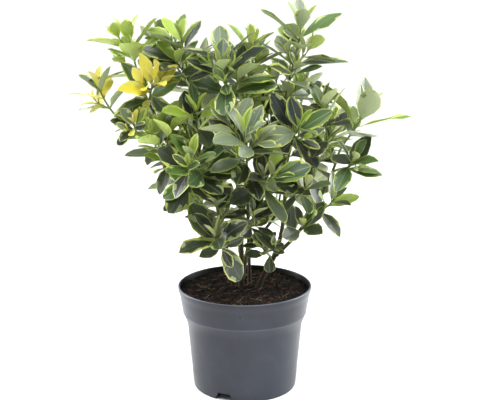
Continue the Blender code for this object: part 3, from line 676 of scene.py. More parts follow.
def fibre_shapes(count, lengths, thickness, seed, reach, lift=0.0012):
    """Bent threads: three-sided tubes whose line wanders on the peat and lifts at its ends.

    With t from -1/2 to 1/2, the line heads turn + bend * t + wiggle * sin(7t + turn), and lies
    lift * (2t)^2 above the peat.
    """
    x, y, draw = scatter_places(count, seed, reach)
    t = np.linspace(-0.5, 0.5, FIBRE_STEPS)
    length = draw.uniform(*lengths, (count, 1))
    turn = draw.random((count, 1)) * FULL_TURN
    bend = draw.uniform(-FIBRE_BEND, FIBRE_BEND, (count, 1))
    wiggle = draw.uniform(-FIBRE_WIGGLE, FIBRE_WIGGLE, (count, 1)) * np.sin(7.0 * t + turn)
    way = turn + bend * t + wiggle
    step = length / (FIBRE_STEPS - 1)
    line_x = x[:, None] + np.cumsum(np.cos(way), axis=1) * step - length * 0.5 * np.cos(turn)
    line_y = y[:, None] + np.cumsum(np.sin(way), axis=1) * step - length * 0.5 * np.sin(turn)
    shrink = np.minimum(1.0, reach / np.sqrt(line_x**2 + line_y**2))
    line_x, line_y = line_x * shrink, line_y * shrink
    rise = lift * draw.uniform(*FIBRE_LIFTS, (count, 1)) * (2.0 * t) ** 2
    line_z = peat_height(line_x, line_y) + rise + thickness
    angle = FULL_TURN * np.arange(FIBRE_SIDES) / FIBRE_SIDES
    width = (thickness * (1.0 - FIBRE_THINNING * np.abs(2.0 * t) ** 3))[None, :, None]
    out = np.cos(angle) * width
    points = np.stack([line_x[..., None] - np.sin(way)[..., None] * out,
                       line_y[..., None] + np.cos(way)[..., None] * out,
                       line_z[..., None] + np.sin(angle) * width], axis=-1)
    size = FIBRE_STEPS * FIBRE_SIDES
    return points, shifted(closed_faces(FIBRE_STEPS, FIBRE_SIDES), range(0, count * size, size))


print("three crumbs have", len(crumb_shapes(3, (0.001, 0.002), 0.75, 1, 0.08)[1]), "faces")

# %% [markdown]
# Peat is nearly black brown, with redder crumbs where it has dried. One kind of material serves all
# of it: two tones under a mottling, with a strong grain. Only the tones and the gloss differ.

# %% Peat and what lies on it
# What lies on the peat: the rule for its shapes and what the rule is given, then its dark and light
# tone, its roughness, and the angle from which its edges are crisp
LYING = {
    "peat_crumbs": (crumb_shapes, (1100, (0.0007, 0.0021), 0.75, 21, 0.086),
                    (12, 10, 9), (32, 24, 19), 0.90, 20.0),
    "bark_chips": (crumb_shapes, (110, (0.0022, 0.0042), 0.35, 22, 0.082),
                   (34, 22, 18), (78, 52, 42), 0.90, 20.0),
    "wood_fibres": (fibre_shapes, (300, (0.008, 0.026), 0.00022, 23, 0.086),
                    (54, 36, 28), (96, 64, 50), 0.75, 40.0),
    "straw_roots": (fibre_shapes, (26, (0.012, 0.034), 0.00030, 24, 0.084, 0.0022),
                    (112, 92, 64), (150, 128, 94), 0.70, 40.0),
    "pale_chips": (crumb_shapes, (4, (0.0014, 0.0024), 0.4, 26, 0.080),
                   (150, 138, 118), (186, 176, 156), 0.80, 20.0),
}


def make_earth(name, dark, light, roughness):
    """Crumbly earth colour between two screen tones, with strong grain."""
    dark, light = screen(*dark), screen(*light)
    material, tree, shader = new_material(name, dark, roughness, 0.15)
    tone = mottled(tree, Scale=260.0, Level=0.52, Contrast=5.0)
    fill(tree, shader, {"Base Color": mix_colours(tree, tone, dark, light)})
    add_grain(tree, shader, 700.0, 0.8, 0.0008)
    return material


def make_peat():
    """The peat body and what lies on it."""
    points = peat_points()
    earth = make_earth("peat", (9, 8, 7), (19, 15, 13), 0.9)
    peat = make_piece("peat_fill", points, closed_faces(*points.shape[:2]), [earth], 60.0)
    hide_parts("soil")
    for name, (shapes, given, dark, light, roughness, sharp) in LYING.items():
        points, faces = shapes(*given)
        made = make_piece(name, points, faces, [make_earth(name, dark, light, roughness)], sharp)
        print("  ", name, "has", len(faces), "faces")
    return len(peat.data.polygons)


print("the peat has", make_peat(), "faces")

# %% [markdown]
# The limbs follow the same rule as the solids, written again here so that every leaf finds its old
# place. A limb is a smooth curve that leaves its parent at a set angle and bends up to the light.
# The tables name where each one starts and ends.

# %% Tables of boughs and masses
# Each bough: what carries it, how far along that, its end (x, y, z), start and end radius
BOUGHS = {
    "bough_left_low": ("stem_left", 1.0, (-0.060, 0.005, 0.264), 0.0028, 0.0020),
    "bough_front_low": ("stem_left", 0.70, (-0.028, -0.022, 0.208), 0.0021, 0.0017),
    "bough_left_high": ("stem_middle", 1.0, (-0.108, 0.020, 0.366), 0.0028, 0.0022),
    "bough_far_left": ("bough_left_high", 0.80, (-0.168, -0.006, 0.386), 0.0019, 0.0016),
    "bough_upper_left": ("bough_left_high", 1.0, (-0.137, 0.020, 0.417), 0.0022, 0.0017),
    "bough_top_left": ("stem_middle", 0.90, (-0.072, 0.060, 0.408), 0.0022, 0.0017),
    "bough_top_centre": ("stem_middle", 0.96, (-0.015, -0.002, 0.393), 0.0024, 0.0018),
    "bough_centre_front": ("stem_middle", 0.74, (0.004, -0.052, 0.312), 0.0022, 0.0017),
    "bough_tall": ("stem_right", 1.0, (0.054, 0.010, 0.391), 0.0033, 0.0021),
    "bough_right_outer": ("stem_right", 0.88, (0.104, 0.000, 0.272), 0.0030, 0.0023),
    "bough_right_high": ("bough_right_outer", 1.0, (0.131, 0.000, 0.340), 0.0022, 0.0018),
    "bough_back_centre": ("stem_slim", 1.0, (-0.011, 0.110, 0.330), 0.0023, 0.0018),
    "bough_back_left": ("stem_back", 1.0, (-0.062, 0.122, 0.262), 0.0028, 0.0019),
    "bough_back_right": ("stem_back", 0.88, (0.066, 0.122, 0.260), 0.0026, 0.0019),
}

# Each mass of foliage: its bough, how far along that, the shoot's tip (x, y, z), leaf scale,
# the turn of its topmost pair in degrees (0 is across the picture), side twigs, seed
Mass = namedtuple("Mass", "parent along tip scale turn twigs seed")
MASSES = {"foliage_" + name: Mass(*row) for name, row in {
    "upper_left": ("bough_upper_left", 1.0, (-0.159, 0.020, 0.502), 1.10, 10, 0, 11),
    "golden_left": ("bough_upper_left", 0.86, (-0.124, -0.034, 0.449), 0.96, 40, 0, 12),
    "far_left": ("bough_far_left", 1.0, (-0.200, -0.010, 0.438), 0.90, 60, 0, 13),
    "far_left_low": ("bough_far_left", 0.72, (-0.149, -0.046, 0.394), 0.64, 60, 0, 14),
    "top_left": ("bough_top_left", 1.0, (-0.117, 0.062, 0.497), 0.96, 20, 0, 15),
    "top_left_front": ("bough_top_left", 0.86, (-0.086, 0.000, 0.503), 0.92, 55, 1, 16),
    "top_left_back": ("bough_top_left", 0.74, (-0.064, 0.122, 0.452), 1.00, 20, 0, 17),
    "left_middle": ("bough_left_high", 0.62, (-0.064, -0.040, 0.410), 0.98, 25, 0, 18),
    "left_shoot": ("bough_left_low", 0.80, (-0.122, -0.036, 0.378), 0.98, 70, 1, 19),
    "left_front": ("bough_left_low", 1.0, (-0.069, -0.084, 0.350), 1.06, 60, 1, 20),
    "left_low": ("bough_left_low", 0.58, (-0.080, 0.014, 0.284), 0.78, 15, 0, 21),
    "left_inner": ("bough_left_low", 0.30, (-0.040, -0.036, 0.282), 0.84, 75, 0, 43),
    "low_front": ("bough_front_low", 1.0, (-0.040, -0.066, 0.241), 1.04, 20, 0, 22),
    "front_top": ("bough_top_centre", 1.0, (-0.029, -0.052, 0.472), 1.06, 5, 1, 23),
    "top_centre": ("bough_top_centre", 0.84, (0.008, 0.026, 0.490), 1.00, 75, 0, 24),
    "centre_front": ("bough_centre_front", 1.0, (0.000, -0.102, 0.392), 1.00, 50, 1, 25),
    "right_front": ("bough_centre_front", 0.82, (0.038, -0.092, 0.334), 0.98, 20, 0, 26),
    "middle_low": ("stem_middle", 0.56, (0.014, -0.030, 0.268), 0.90, 35, 0, 44),
    "tall_right": ("bough_tall", 1.0, (0.077, 0.000, 0.519), 1.20, 8, 0, 27),
    "middle_right": ("bough_tall", 0.84, (0.074, -0.062, 0.392), 1.04, 30, 0, 28),
    "inner": ("bough_tall", 0.66, (0.024, 0.040, 0.404), 1.00, 60, 0, 29),
    "right_inner": ("bough_tall", 0.36, (0.086, -0.026, 0.302), 0.92, 80, 0, 45),
    "right_tip": ("bough_right_high", 1.0, (0.163, -0.004, 0.397), 1.30, 4, 0, 30),
    "right_upper": ("bough_right_high", 0.84, (0.107, -0.030, 0.416), 0.98, 35, 0, 31),
    "right_side": ("bough_right_high", 0.66, (0.148, -0.056, 0.344), 0.98, 65, 0, 32),
    "right_low": ("bough_right_outer", 0.82, (0.124, -0.030, 0.285), 0.84, 20, 0, 33),
    "low_right": ("bough_right_outer", 0.46, (0.082, -0.034, 0.248), 0.92, 45, 0, 34),
    "low_middle": ("stem_right", 0.66, (0.026, -0.036, 0.216), 0.64, 15, 0, 35),
    "slim_left": ("stem_slim", 0.60, (-0.050, 0.078, 0.300), 0.92, 25, 0, 47),
    "slim_right": ("stem_slim", 0.74, (0.054, 0.068, 0.306), 0.92, 65, 0, 48),
    "back_centre": ("bough_back_centre", 1.0, (-0.022, 0.160, 0.393), 1.04, 45, 1, 36),
    "back_top": ("bough_back_centre", 0.84, (0.020, 0.096, 0.460), 1.04, 15, 0, 37),
    "back_left": ("bough_back_left", 1.0, (-0.146, 0.112, 0.372), 1.04, 70, 0, 38),
    "back_left_low": ("bough_back_left", 0.84, (-0.092, 0.162, 0.292), 1.00, 30, 0, 39),
    "back_right": ("bough_back_right", 1.0, (0.142, 0.118, 0.362), 1.04, 65, 1, 40),
    "back_right_low": ("bough_back_right", 0.84, (0.090, 0.166, 0.282), 1.00, 10, 0, 41),
    "back_right_top": ("bough_back_right", 0.66, (0.086, 0.094, 0.420), 1.04, 50, 0, 42),
    "back_low": ("stem_back", 0.42, (0.012, 0.134, 0.238), 0.92, 70, 0, 46),
}.items()}
print(len(STEMS), "stems,", len(BOUGHS), "boughs,", len(MASSES), "masses of foliage")

# %% [markdown]
# A limb could be drawn as a curve object with a round bevel. Here its curve is worked out point by
# point, because leaves will be seated along it and tested against its coarse tube, and both must
# agree with the solid's in every number.

# %% Curves and tubes
UP = Vector((0.0, 0.0, 1.0))
RIGHT = Vector((1.0, 0.0, 0.0))
SEAM_HINT = Vector((0.31, 0.95, 0.0))
Limb = namedtuple("Limb", "points ways radii sides plane curve")


def bezier(start, start_way, end, end_way, count):
    """Points and unit ways on a cubic curve whose handles are a third of its span long."""
    span = (end - start).length / 3.0
    a, b, c, d = start, start + start_way * span, end - end_way * span, end
    points, ways = [], []
    for step in range(count):
        t = step / (count - 1)
        s = 1.0 - t
        points.append(a * s**3 + b * 3 * s * s * t + c * 3 * s * t * t + d * t**3)
        ways.append(((b - a) * s * s + (c - b) * 2 * s * t + (d - c) * t * t).normalized())
    return points, ways


def square_to(way, hint):
    """The part of hint that is square to way, as a unit vector."""
    across = hint - way * hint.dot(way)
    if across.length < 1e-6:
        across = RIGHT - way * way.x
    return across.normalized()


def across_shoot(way, turn):
    """The direction square to a shoot at an angle round it, counted from the picture's right."""
    return Matrix.Rotation(turn, 3, way) @ square_to(way, RIGHT)


def tube(limb, turn=None, spare=0.0):
    """The coarse closed limb that stands for the solid in the tests for free space.

    Each ring's corners lie at even angles a, at radius * (side * cos a + other * sin a). A limb on
    a parent has its first ring slid along its way into the plane of its seat.
    """
    side = square_to(limb.ways[0], SEAM_HINT)
    corners = []
    for place, way, radius in zip(limb.points, limb.ways, limb.radii):
        side = square_to(way, side)
        if turn is not None:
            side = across_shoot(way, turn + math.pi / limb.sides)
        other = way.cross(side)
        for step in range(limb.sides):
            angle = FULL_TURN * step / limb.sides
            cos, sin = (radius + spare) * math.cos(angle), (radius + spare) * math.sin(angle)
            offset = side * cos + other * sin
            if limb.plane is not None and len(corners) < limb.sides:
                offset -= way * (offset.dot(limb.plane) / way.dot(limb.plane))
            corners.append(place + offset)
    return corners, closed_faces(len(limb.points), limb.sides)


print("round an upright shoot, an angle of 0 points to", tuple(across_shoot(UP, 0.0)))

# %% [markdown]
# Now each limb is laid out: stems from the peat, boughs from their stem, shoots from their bough. It
# keeps its curve as well, so that the bark mesh can later be read from it at much finer steps.

# %% Lay out the limbs
STEM_RISE, SHOOT_RISE = 0.30, 0.45
STEM_LEAN = 0.60
BRANCH_ANGLE = 50.0
STEM_SIDES, BOUGH_SIDES, SHOOT_SIDES = 8, 6, 4
STEM_RINGS, BOUGH_RINGS, SHOOT_RINGS = 9, 7, 5
SHOOT_FOOT_RADIUS, SHOOT_TIP_RADIUS = 0.0017, 0.0010
FLARE_SIZE, FLARE_HEIGHT = 0.0014, 0.006


def limb_end_way(start, end, rise):
    """Limbs bend up as they grow: the way from start to end, lifted towards the sky."""
    return ((end - start).normalized() * (1.0 - rise) + UP * rise).normalized()


def tapering(low, high, count):
    """Radii that shrink evenly from low to high."""
    return [low + (high - low) * step / (count - 1) for step in range(count)]


def branch(parent, along, end):
    """Where a limb starts on its parent: place, way and the plane of its first ring."""
    if along == 1.0:
        return parent.points[-1] + parent.ways[-1] * GAP, parent.ways[-1], None
    low = int(along * (len(parent.points) - 1))
    share = along * (len(parent.points) - 1) - low
    axis = parent.points[low].lerp(parent.points[low + 1], share)
    way = parent.ways[low].lerp(parent.ways[low + 1], share).normalized()
    radius = parent.radii[low] * (1.0 - share) + parent.radii[low + 1] * share
    outward = square_to(way, end - axis)
    spread = math.radians(BRANCH_ANGLE)
    return axis + outward * (radius + GAP), way * math.cos(spread) + outward * math.sin(spread), outward


def side_limb(parent, along, end, low_radius, high_radius, sides, rise, count):
    """One tapering limb from its seat on the parent to its end, with the curve it follows."""
    end = Vector(end)
    start, start_way, plane = branch(parent, along, end)
    curve = (start, start_way, end, limb_end_way(start, end, rise))
    return Limb(*bezier(*curve, count), tapering(low_radius, high_radius, count), sides, plane, curve)


def stem_limb(foot, top, low_radius, high_radius):
    """A stem from the peat: its radius tapers, plus FLARE_SIZE * e^(-height / FLARE_HEIGHT)."""
    start, end = Vector((*foot, SOIL_TOP)), Vector(top)
    curve = (start, limb_end_way(start, end, 1.0 - STEM_LEAN), end, limb_end_way(start, end, STEM_RISE))
    points, ways = bezier(*curve, STEM_RINGS)
    radii = [taper + FLARE_SIZE * math.exp(-(point.z - SOIL_TOP) / FLARE_HEIGHT)
             for taper, point in zip(tapering(low_radius, high_radius, STEM_RINGS), points)]
    return Limb(points, ways, radii, STEM_SIDES, UP, curve)


def lay_out_limbs():
    """Every stem, bough and shoot by name."""
    limbs = {name: stem_limb(*row) for name, row in STEMS.items()}
    for name, (parent, *row) in BOUGHS.items():
        limbs[name] = side_limb(limbs[parent], *row, BOUGH_SIDES, STEM_RISE, BOUGH_RINGS)
    for name, mass in MASSES.items():
        foot_radius = min(limbs[mass.parent].radii[-1], SHOOT_FOOT_RADIUS)
        limbs[name] = side_limb(limbs[mass.parent], mass.along, mass.tip, foot_radius,
                                SHOOT_TIP_RADIUS, SHOOT_SIDES, SHOOT_RISE, SHOOT_RINGS)
    return limbs


limbs = lay_out_limbs()
print("laid out", len(limbs), "limbs")

# %% [markdown]
# Leaves stand in opposite pairs, close together near a shoot's tip and wider apart below, and each
# pair is turned a quarter from the last. A leaf that would touch anything tries a few small turns,
# tilts and sizes, and is left out if none is free. This is the rule of the solids, in the same order
# and with the same seeded draws.

# %% The coarse leaf
LEAF_THICKNESS = 0.0009
LEAF_KEEL = 0.55
LEAF_SECTIONS = ((0.42, 0.205), (0.72, 0.235))
LEAF_FOLD, LEAF_RECURVE, LEAF_RISE, FACE_RISE = 0.08, 0.10, 0.10, 0.35
STALK_LENGTH, STALK_HALF_WIDTH = 0.0040, 0.0009
FOOT_SINK = 0.0005
SPARE = 0.0005


def leaf_outline(length, start=0.0, grown=0.0):
    """The coarse leaf's outline from its foot round its right edge, tip and left edge, and keel.

    An edge at x lies at LEAF_FOLD * half width - LEAF_RECURVE * x^2 / length + half the thickness.
    """
    right = []
    sections = [(along * length, half * length) for along, half in LEAF_SECTIONS]
    for x, half in [(max(start, STALK_LENGTH), STALK_HALF_WIDTH)] + sections:
        height = LEAF_FOLD * half - LEAF_RECURVE * x * x / length + LEAF_THICKNESS / 2.0
        right.append((x, -half - grown, height))
    left = [(x, -y, z) for x, y, z in reversed(right)]
    tip = (length + grown, 0.0, -LEAF_RECURVE * length)
    keel_x = LEAF_KEEL * length
    keel = (keel_x, 0.0, -LEAF_THICKNESS - LEAF_RECURVE * keel_x * keel_x / length)
    return [(start, 0.0, 0.0)] + right + [tip] + left, keel


def leaf_top(count):
    """Faces of the upper side, from the foot to the tip, over an outline of count points."""
    half = count // 2
    faces = [(0, 1, count - 1), (half - 1, half, half + 1)]
    return faces + [(step, step + 1, count - step - 1, count - step) for step in range(1, half - 1)]


def leaf_shape(leaf_axes, length):
    """The coarse blade: a flat-topped outline with a fan of faces down to its keel."""
    outline, keel = leaf_outline(length)
    count = len(outline)
    faces = leaf_top(count) + [((step + 1) % count, step, count) for step in range(count)]
    return [leaf_axes @ Vector(corner) for corner in outline + [keel]], faces


def leaf_space(leaf_axes, length, start=0.0):
    """The space that a leaf keeps to itself: its blade from start on, swollen by SPARE."""
    outline, keel = leaf_outline(length, start, SPARE)
    count = len(outline)
    corners = [(x, y, z + side) for side in (SPARE, -SPARE) for x, y, z in outline]
    corners.append((keel[0], keel[1], keel[2] - SPARE))
    faces = leaf_top(count)
    for step in range(count):
        low, following = count + step, count + (step + 1) % count
        faces += [(low, following, following - count, step), (following, low, 2 * count)]
    return [leaf_axes @ Vector(corner) for corner in corners], faces


def leaf_frame(place, shoot_way, turn, tilt, roll):
    """A leaf's axes on its shoot: turned round the shoot, tilted off it, upper face to the tip."""
    across = across_shoot(shoot_way, turn)
    along = (shoot_way * math.cos(tilt) + across * math.sin(tilt) + UP * LEAF_RISE).normalized()
    upper = square_to(along, shoot_way + UP * FACE_RISE)
    upper = Matrix.Rotation(roll, 3, along) @ upper
    axes = Matrix((along, upper.cross(along), upper)).transposed()
    return Matrix.Translation(place - along * FOOT_SINK) @ axes.to_4x4()


print("a coarse leaf has", len(leaf_outline(0.05)[0]), "points round its outline and one keel")

# %% [markdown]
# To find free space quickly, each thing in place keeps a bounding ball and a tree of its faces. Only
# things whose balls meet are compared face by face. The alternative, to compare every face with
# every other, would be far too slow for a thousand leaves.

# %% Free space
NECK = 0.0065
TRY_SIZES = (1.0, 0.84, 0.70)
TRY_TILTS = (0.0, -12.0, 12.0)
TRY_TURNS = (0.0, 14.0, -14.0, 28.0, -28.0)


class Room:
    """What is already in place, so that each new piece can be tested for free space."""

    def __init__(self):
        self.owners, self.trees = [], []
        self.centres, self.reaches = np.zeros((0, 3)), np.zeros(0)

    def measured(self, points, faces):
        """The centre of a shape's box, its reach from there, and the tree of its faces."""
        points = [tuple(point) for point in points]
        cloud = np.array(points)
        centre = (cloud.min(axis=0) + cloud.max(axis=0)) / 2.0
        reach = np.sqrt(((cloud - centre) ** 2).sum(axis=1).max())
        return centre, reach, BVHTree.FromPolygons(points, faces)

    def add(self, owner, points, faces):
        """Put a shape in place."""
        centre, reach, tree = self.measured(points, faces)
        self.owners.append(owner)
        self.trees.append(tree)
        self.centres = np.vstack([self.centres, centre])
        self.reaches = np.append(self.reaches, reach)

    def is_free(self, points, faces, wanted):
        """True where the shape meets nothing whose owner passes the test wanted(owner)."""
        centre, reach, tree = self.measured(points, faces)
        far = np.sqrt(((self.centres - centre) ** 2).sum(axis=1))
        near = np.nonzero(far < self.reaches + reach)[0]
        return not any(wanted(self.owners[place]) and self.trees[place].overlap(tree) for place in near)


def try_leaf(room, owner, place, way, turn, tilt, roll, length):
    """The first free way to seat a leaf, from a fixed list of small turns, tilts and sizes."""
    for size, more_tilt, more_turn in itertools.product(TRY_SIZES, TRY_TILTS, TRY_TURNS):
        more_tilt, more_turn = math.radians(more_tilt), math.radians(more_turn)
        axes = leaf_frame(place, way, turn + more_turn, tilt + more_tilt, roll)
        if room.is_free(*leaf_space(axes, length * size), lambda other: other != owner):
            if room.is_free(*leaf_space(axes, length * size, NECK), lambda other: other == owner):
                return axes, length * size
    return None


print("a leaf may try", len(TRY_SIZES) * len(TRY_TILTS) * len(TRY_TURNS), "seats")

# %% [markdown]
# Pairs stand at nodes along a shoot, and a twig may break from the axil of a leaf there. Both count
# from the tip down, because that is where a shoot grows and its nodes are still close together.

# %% Places along a shoot
FIRST_NODE = 0.003
NODE_STEPS = (0.006, 0.010, 0.015, 0.020, 0.024, 0.026)
BARE_FOOT = 0.012
TWIG_WAYS = (0.75, 0.65)
TWIG_RISE = 0.25


def limb_length(points):
    """The sum of the steps between a limb's points."""
    return sum((b - a).length for a, b in zip(points, points[1:]))


def along_limb(limb, back):
    """The point and way at a distance back from the limb's tip."""
    points, ways = limb.points, limb.ways
    for step in range(len(points) - 1, 0, -1):
        run = (points[step] - points[step - 1]).length
        if back <= run:
            share = back / run
            return points[step].lerp(points[step - 1], share), ways[step].lerp(ways[step - 1], share)
        back -= run


def leaf_places(limb, bare_foot, first_pair=0, steps=NODE_STEPS):
    """Places and ways of the leaf pairs from the tip down, closer together near the tip."""
    found = []
    back = FIRST_NODE
    while back < limb_length(limb.points) - bare_foot:
        place, way = along_limb(limb, back)
        back += steps[min(len(found), len(steps) - 1)]
        found.append((len(found) + first_pair, place, way.normalized()))
    return found


def pair_sides(places, turn):
    """Both sides of each pair: its number, place, way and angle round the shoot.

    The angle is turn + a quarter turn for each pair before it, + half a turn for the second side.
    """
    for (pair, place, way), side in itertools.product(places, (0.0, math.pi)):
        yield pair, place, way, turn + pair * math.pi / 2.0 + side


def twig_at(place, way, around, reach, radii, sink):
    """A short twig from an axil: it leaves at a slant and bends up to the light."""
    across = across_shoot(way, around)
    start_way = (way * TWIG_WAYS[0] + across * TWIG_WAYS[1]).normalized()
    end = place + (start_way + UP * TWIG_RISE).normalized() * reach
    curve = (place - start_way * sink, start_way, end, limb_end_way(place, end, SHOOT_RISE))
    return Limb(*bezier(*curve, len(radii)), radii, SHOOT_SIDES, None, curve)


print("the topmost pairs of a shoot stand", NODE_STEPS[0], "m apart, the lower ones", NODE_STEPS[-1])

# %% [markdown]
# With shapes and a test for room, the crown grows by itself: first the side twigs, then the leaf
# pairs, mass by mass. It could be laid out by hand, but then no leaf would know its neighbours.

# %% Grow the crown
TWIG_LENGTH, TWIG_LENGTH_SPREAD = 0.034, 0.15
TWIG_FIRST_NODE = 3
TWIG_RADII = (0.00120, 0.00114, 0.00102, 0.00100)
PAIR_LENGTHS = (0.030, 0.042, 0.050, 0.054, 0.054, 0.050)
PAIR_ANGLES = (22.0, 40.0, 55.0, 66.0, 74.0, 80.0)
TURN_SPREAD, TILT_SPREAD, ROLL_SPREAD, LENGTH_SPREAD = 0.16, 0.12, 0.30, 0.10
Leaf = namedtuple("Leaf", "axes length pair mass")


def grow_side_twigs(room, name, limb, mass, draw):
    """Short twigs from the axils of a shoot's lower pairs, skipped where there is no room."""
    made = []
    places = leaf_places(limb, BARE_FOOT)[TWIG_FIRST_NODE:TWIG_FIRST_NODE + 2 * mass.twigs]
    for pair, place, way in places:
        around = math.radians(mass.turn) + pair * math.pi / 2.0 + draw.choice((0.0, math.pi))
        reach = TWIG_LENGTH * (1.0 + TWIG_LENGTH_SPREAD * draw.uniform(-1.0, 1.0))
        twig = twig_at(place, way, around, reach, TWIG_RADII, FOOT_SINK)
        if room.is_free(*tube(twig, spare=SPARE), lambda other: other != name):
            made.append(twig)
            room.add(name, *tube(twig))
    return made


def grow_leaves(room, name, places, mass, draw):
    """Opposite pairs down one shoot, with small random turns, tilts, rolls and lengths."""
    found = []
    for pair, place, way, around in pair_sides(places, math.radians(mass.turn)):
        row = min(pair, len(PAIR_LENGTHS) - 1)
        around += TURN_SPREAD * draw.uniform(-1.0, 1.0)
        tilt = math.radians(PAIR_ANGLES[row]) + TILT_SPREAD * draw.uniform(-1.0, 1.0)
        roll = ROLL_SPREAD * draw.uniform(-1.0, 1.0)
        length = PAIR_LENGTHS[row] * mass.scale * (1.0 + LENGTH_SPREAD * draw.uniform(-1.0, 1.0))
        seated = try_leaf(room, name, place, way, around, tilt, roll, length)
        if seated:
            found.append(Leaf(*seated, pair, name))
            room.add(name, *leaf_shape(*seated))
    return found


def grow_crown():
    """All side twigs, then all leaves, mass by mass, in the solids' own order."""
    room = Room()
    for node in ("pot", "soil"):
        mesh = frame["nodes"][node].data
        room.add(node, [v.co for v in mesh.vertices], [tuple(face.vertices) for face in mesh.polygons])
    for name, limb in limbs.items():
        room.add(name, *tube(limb, math.radians(MASSES[name].turn) if name in MASSES else None))
    draws = {name: random.Random(mass.seed) for name, mass in MASSES.items()}
    twigs = {name: grow_side_twigs(room, name, limbs[name], mass, draws[name])
             for name, mass in MASSES.items()}
    leaves = []
    for name, mass in MASSES.items():
        shoots = [leaf_places(limbs[name], BARE_FOOT)]
        for places in shoots + [leaf_places(twig, BARE_FOOT, 1) for twig in twigs[name]]:
            leaves += grow_leaves(room, name, places, mass, draws[name])
    return room, twigs, leaves


room, side_twigs, leaves = grow_crown()
print(len(leaves), "leaves,", sum(map(len, side_twigs.values())), "side twigs,", len(MASSES), "shoots")

# %% [markdown]
# The solids stop at the larger leaves. A real shoot also breaks from the axils of its older pairs
# into thin twigs with small leaves. They grow by the same rule at a finer scale, only where there is
# room, and only within the reach of their own mass.

# %% Finer twigs
FINE_LENGTHS = (0.016, 0.034)
FINE_RADII = (0.00085, 0.00080, 0.00074, 0.00070)
FINE_STEPS = (0.005, 0.009, 0.013)
FINE_PAIR_LENGTHS = (0.018, 0.028, 0.036, 0.038)
FINE_PAIR_ANGLES = (24.0, 44.0, 60.0, 70.0)
FINE_BARE_FOOT = 0.005
FINE_SHARE = 0.62
FINE_TWIG_TURN, FINE_TURN, FINE_TILT, FINE_ROLL = 0.3, 0.2, 0.15, 0.3
FINE_SIZES = (0.85, 1.15)
FINE_SEED = 500
REACH_SPARE = 0.004


def within_reach(axes, length, low, high):
    """True where a leaf's tip stays inside its mass's box, give or take REACH_SPARE."""
    tip = axes @ Vector((length, 0.0, -LEAF_RECURVE * length))
    return all(low[i] - REACH_SPARE < tip[i] < high[i] + REACH_SPARE for i in range(3))


def grow_fine_leaves(name, twig, mass, box, draw):
    """Small opposite pairs down one thin twig, kept inside the box of their mass."""
    found = []
    places = leaf_places(twig, FINE_BARE_FOOT, 0, FINE_STEPS)
    for pair, place, way, around in pair_sides(places, math.radians(mass.turn)):
        row = min(pair, len(FINE_PAIR_LENGTHS) - 1)
        around += draw.uniform(-FINE_TURN, FINE_TURN)
        tilt = math.radians(FINE_PAIR_ANGLES[row]) + draw.uniform(-FINE_TILT, FINE_TILT)
        length = FINE_PAIR_LENGTHS[row] * mass.scale * draw.uniform(*FINE_SIZES)
        roll = draw.uniform(-FINE_ROLL, FINE_ROLL)
        seated = try_leaf(room, name, place, way, around, tilt, roll, length)
        if seated and within_reach(*seated, *box):
            found.append(Leaf(*seated, pair, name))
            room.add(name, *leaf_shape(*seated))
    return found


def grow_fine_twigs(name, mass, draw):
    """Thin twigs in the axils of one mass, and their leaves."""
    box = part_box(name)
    twigs, found = [], []
    for limb, skipped in [(limbs[name], 1)] + [(twig, 2) for twig in side_twigs[name]]:
        places = leaf_places(limb, BARE_FOOT)[skipped:]
        for _, place, way, around in pair_sides(places, math.radians(mass.turn)):
            wanted = draw.random() < FINE_SHARE
            reach = draw.uniform(*FINE_LENGTHS)
            if not wanted:
                continue
            around += draw.uniform(-FINE_TWIG_TURN, FINE_TWIG_TURN)
            twig = twig_at(place, way, around, reach, FINE_RADII, 0.0)
            free_part = twig._replace(points=twig.points[1:], ways=twig.ways[1:], radii=twig.radii[1:])
            if room.is_free(*tube(free_part, spare=SPARE), lambda other: True):
                room.add(name, *tube(twig))
                twigs.append(twig)
                found += grow_fine_leaves(name, twig, mass, box, draw)
    return twigs, found


fine_twigs = {}
for name, mass in MASSES.items():
    fine_twigs[name], more = grow_fine_twigs(name, mass, random.Random(FINE_SEED + mass.seed))
    leaves += more
print(len(leaves), "leaves in all, with", sum(map(len, fine_twigs.values())), "fine twigs")

# %% [markdown]
# A limb's bark mesh is a tube round its curve, with circles every millimetre or two. Four things
# shape its radius: the taper, a collar where it leaves its parent, slight rings where leaves once
# stood, and bark furrows that run along it. The collar hides the seat of the limb, as on a real
# shrub, where wood grows over the fork.

# %% Limb surfaces
COLLAR_SIZE, COLLAR_LENGTH = 0.45, 0.0030
SEAT_DEPTH = 0.0012
# A bent limb is about this much longer than its chord
BENT_LENGTH = 1.05
FURROW_LENGTH, FURROWS, FINE_FURROWS = 0.025, 0.55, 0.22
NODE_SWELLING, NODE_WIDTH = 0.16, 0.0011
BARE_FIRST_NODE, BARE_NODE_STEPS, BARE_TIP = (0.006, 0.014), (0.016, 0.027), 0.01
UV_PER_METRE = 30.0


def rings_round(centres, side, other, radius):
    """Rings of points: centre + radius * (side * cos a + other * sin a), at even angles a."""
    angle = np.linspace(0.0, FULL_TURN, radius.shape[-1], endpoint=False)
    rings = centres[..., None, :] + side[..., None, :] * (radius * np.cos(angle))[..., None]
    return rings + other[..., None, :] * (radius * np.sin(angle))[..., None]


def furrowed(taper, run, sides, relief, seed):
    """The radius at each angle: taper * (1 + relief * furrow noise).

    The noise reads a circle and the length over FURROW_LENGTH, which draws it out along the limb.
    """
    angle = np.linspace(0.0, FULL_TURN, sides, endpoint=False)
    run = run[:, None]
    place = [np.cos(angle) + 0.0 * run, np.sin(angle) + 0.0 * run, run / FURROW_LENGTH + 0.0 * angle]
    place = np.stack(place, axis=-1)
    furrow = lattice_noise(place + seed, FURROWS, seed)
    furrow = furrow + 0.5 * lattice_noise(place, FINE_FURROWS, seed + 1)
    return taper[:, None] * (1.0 + relief * furrow)


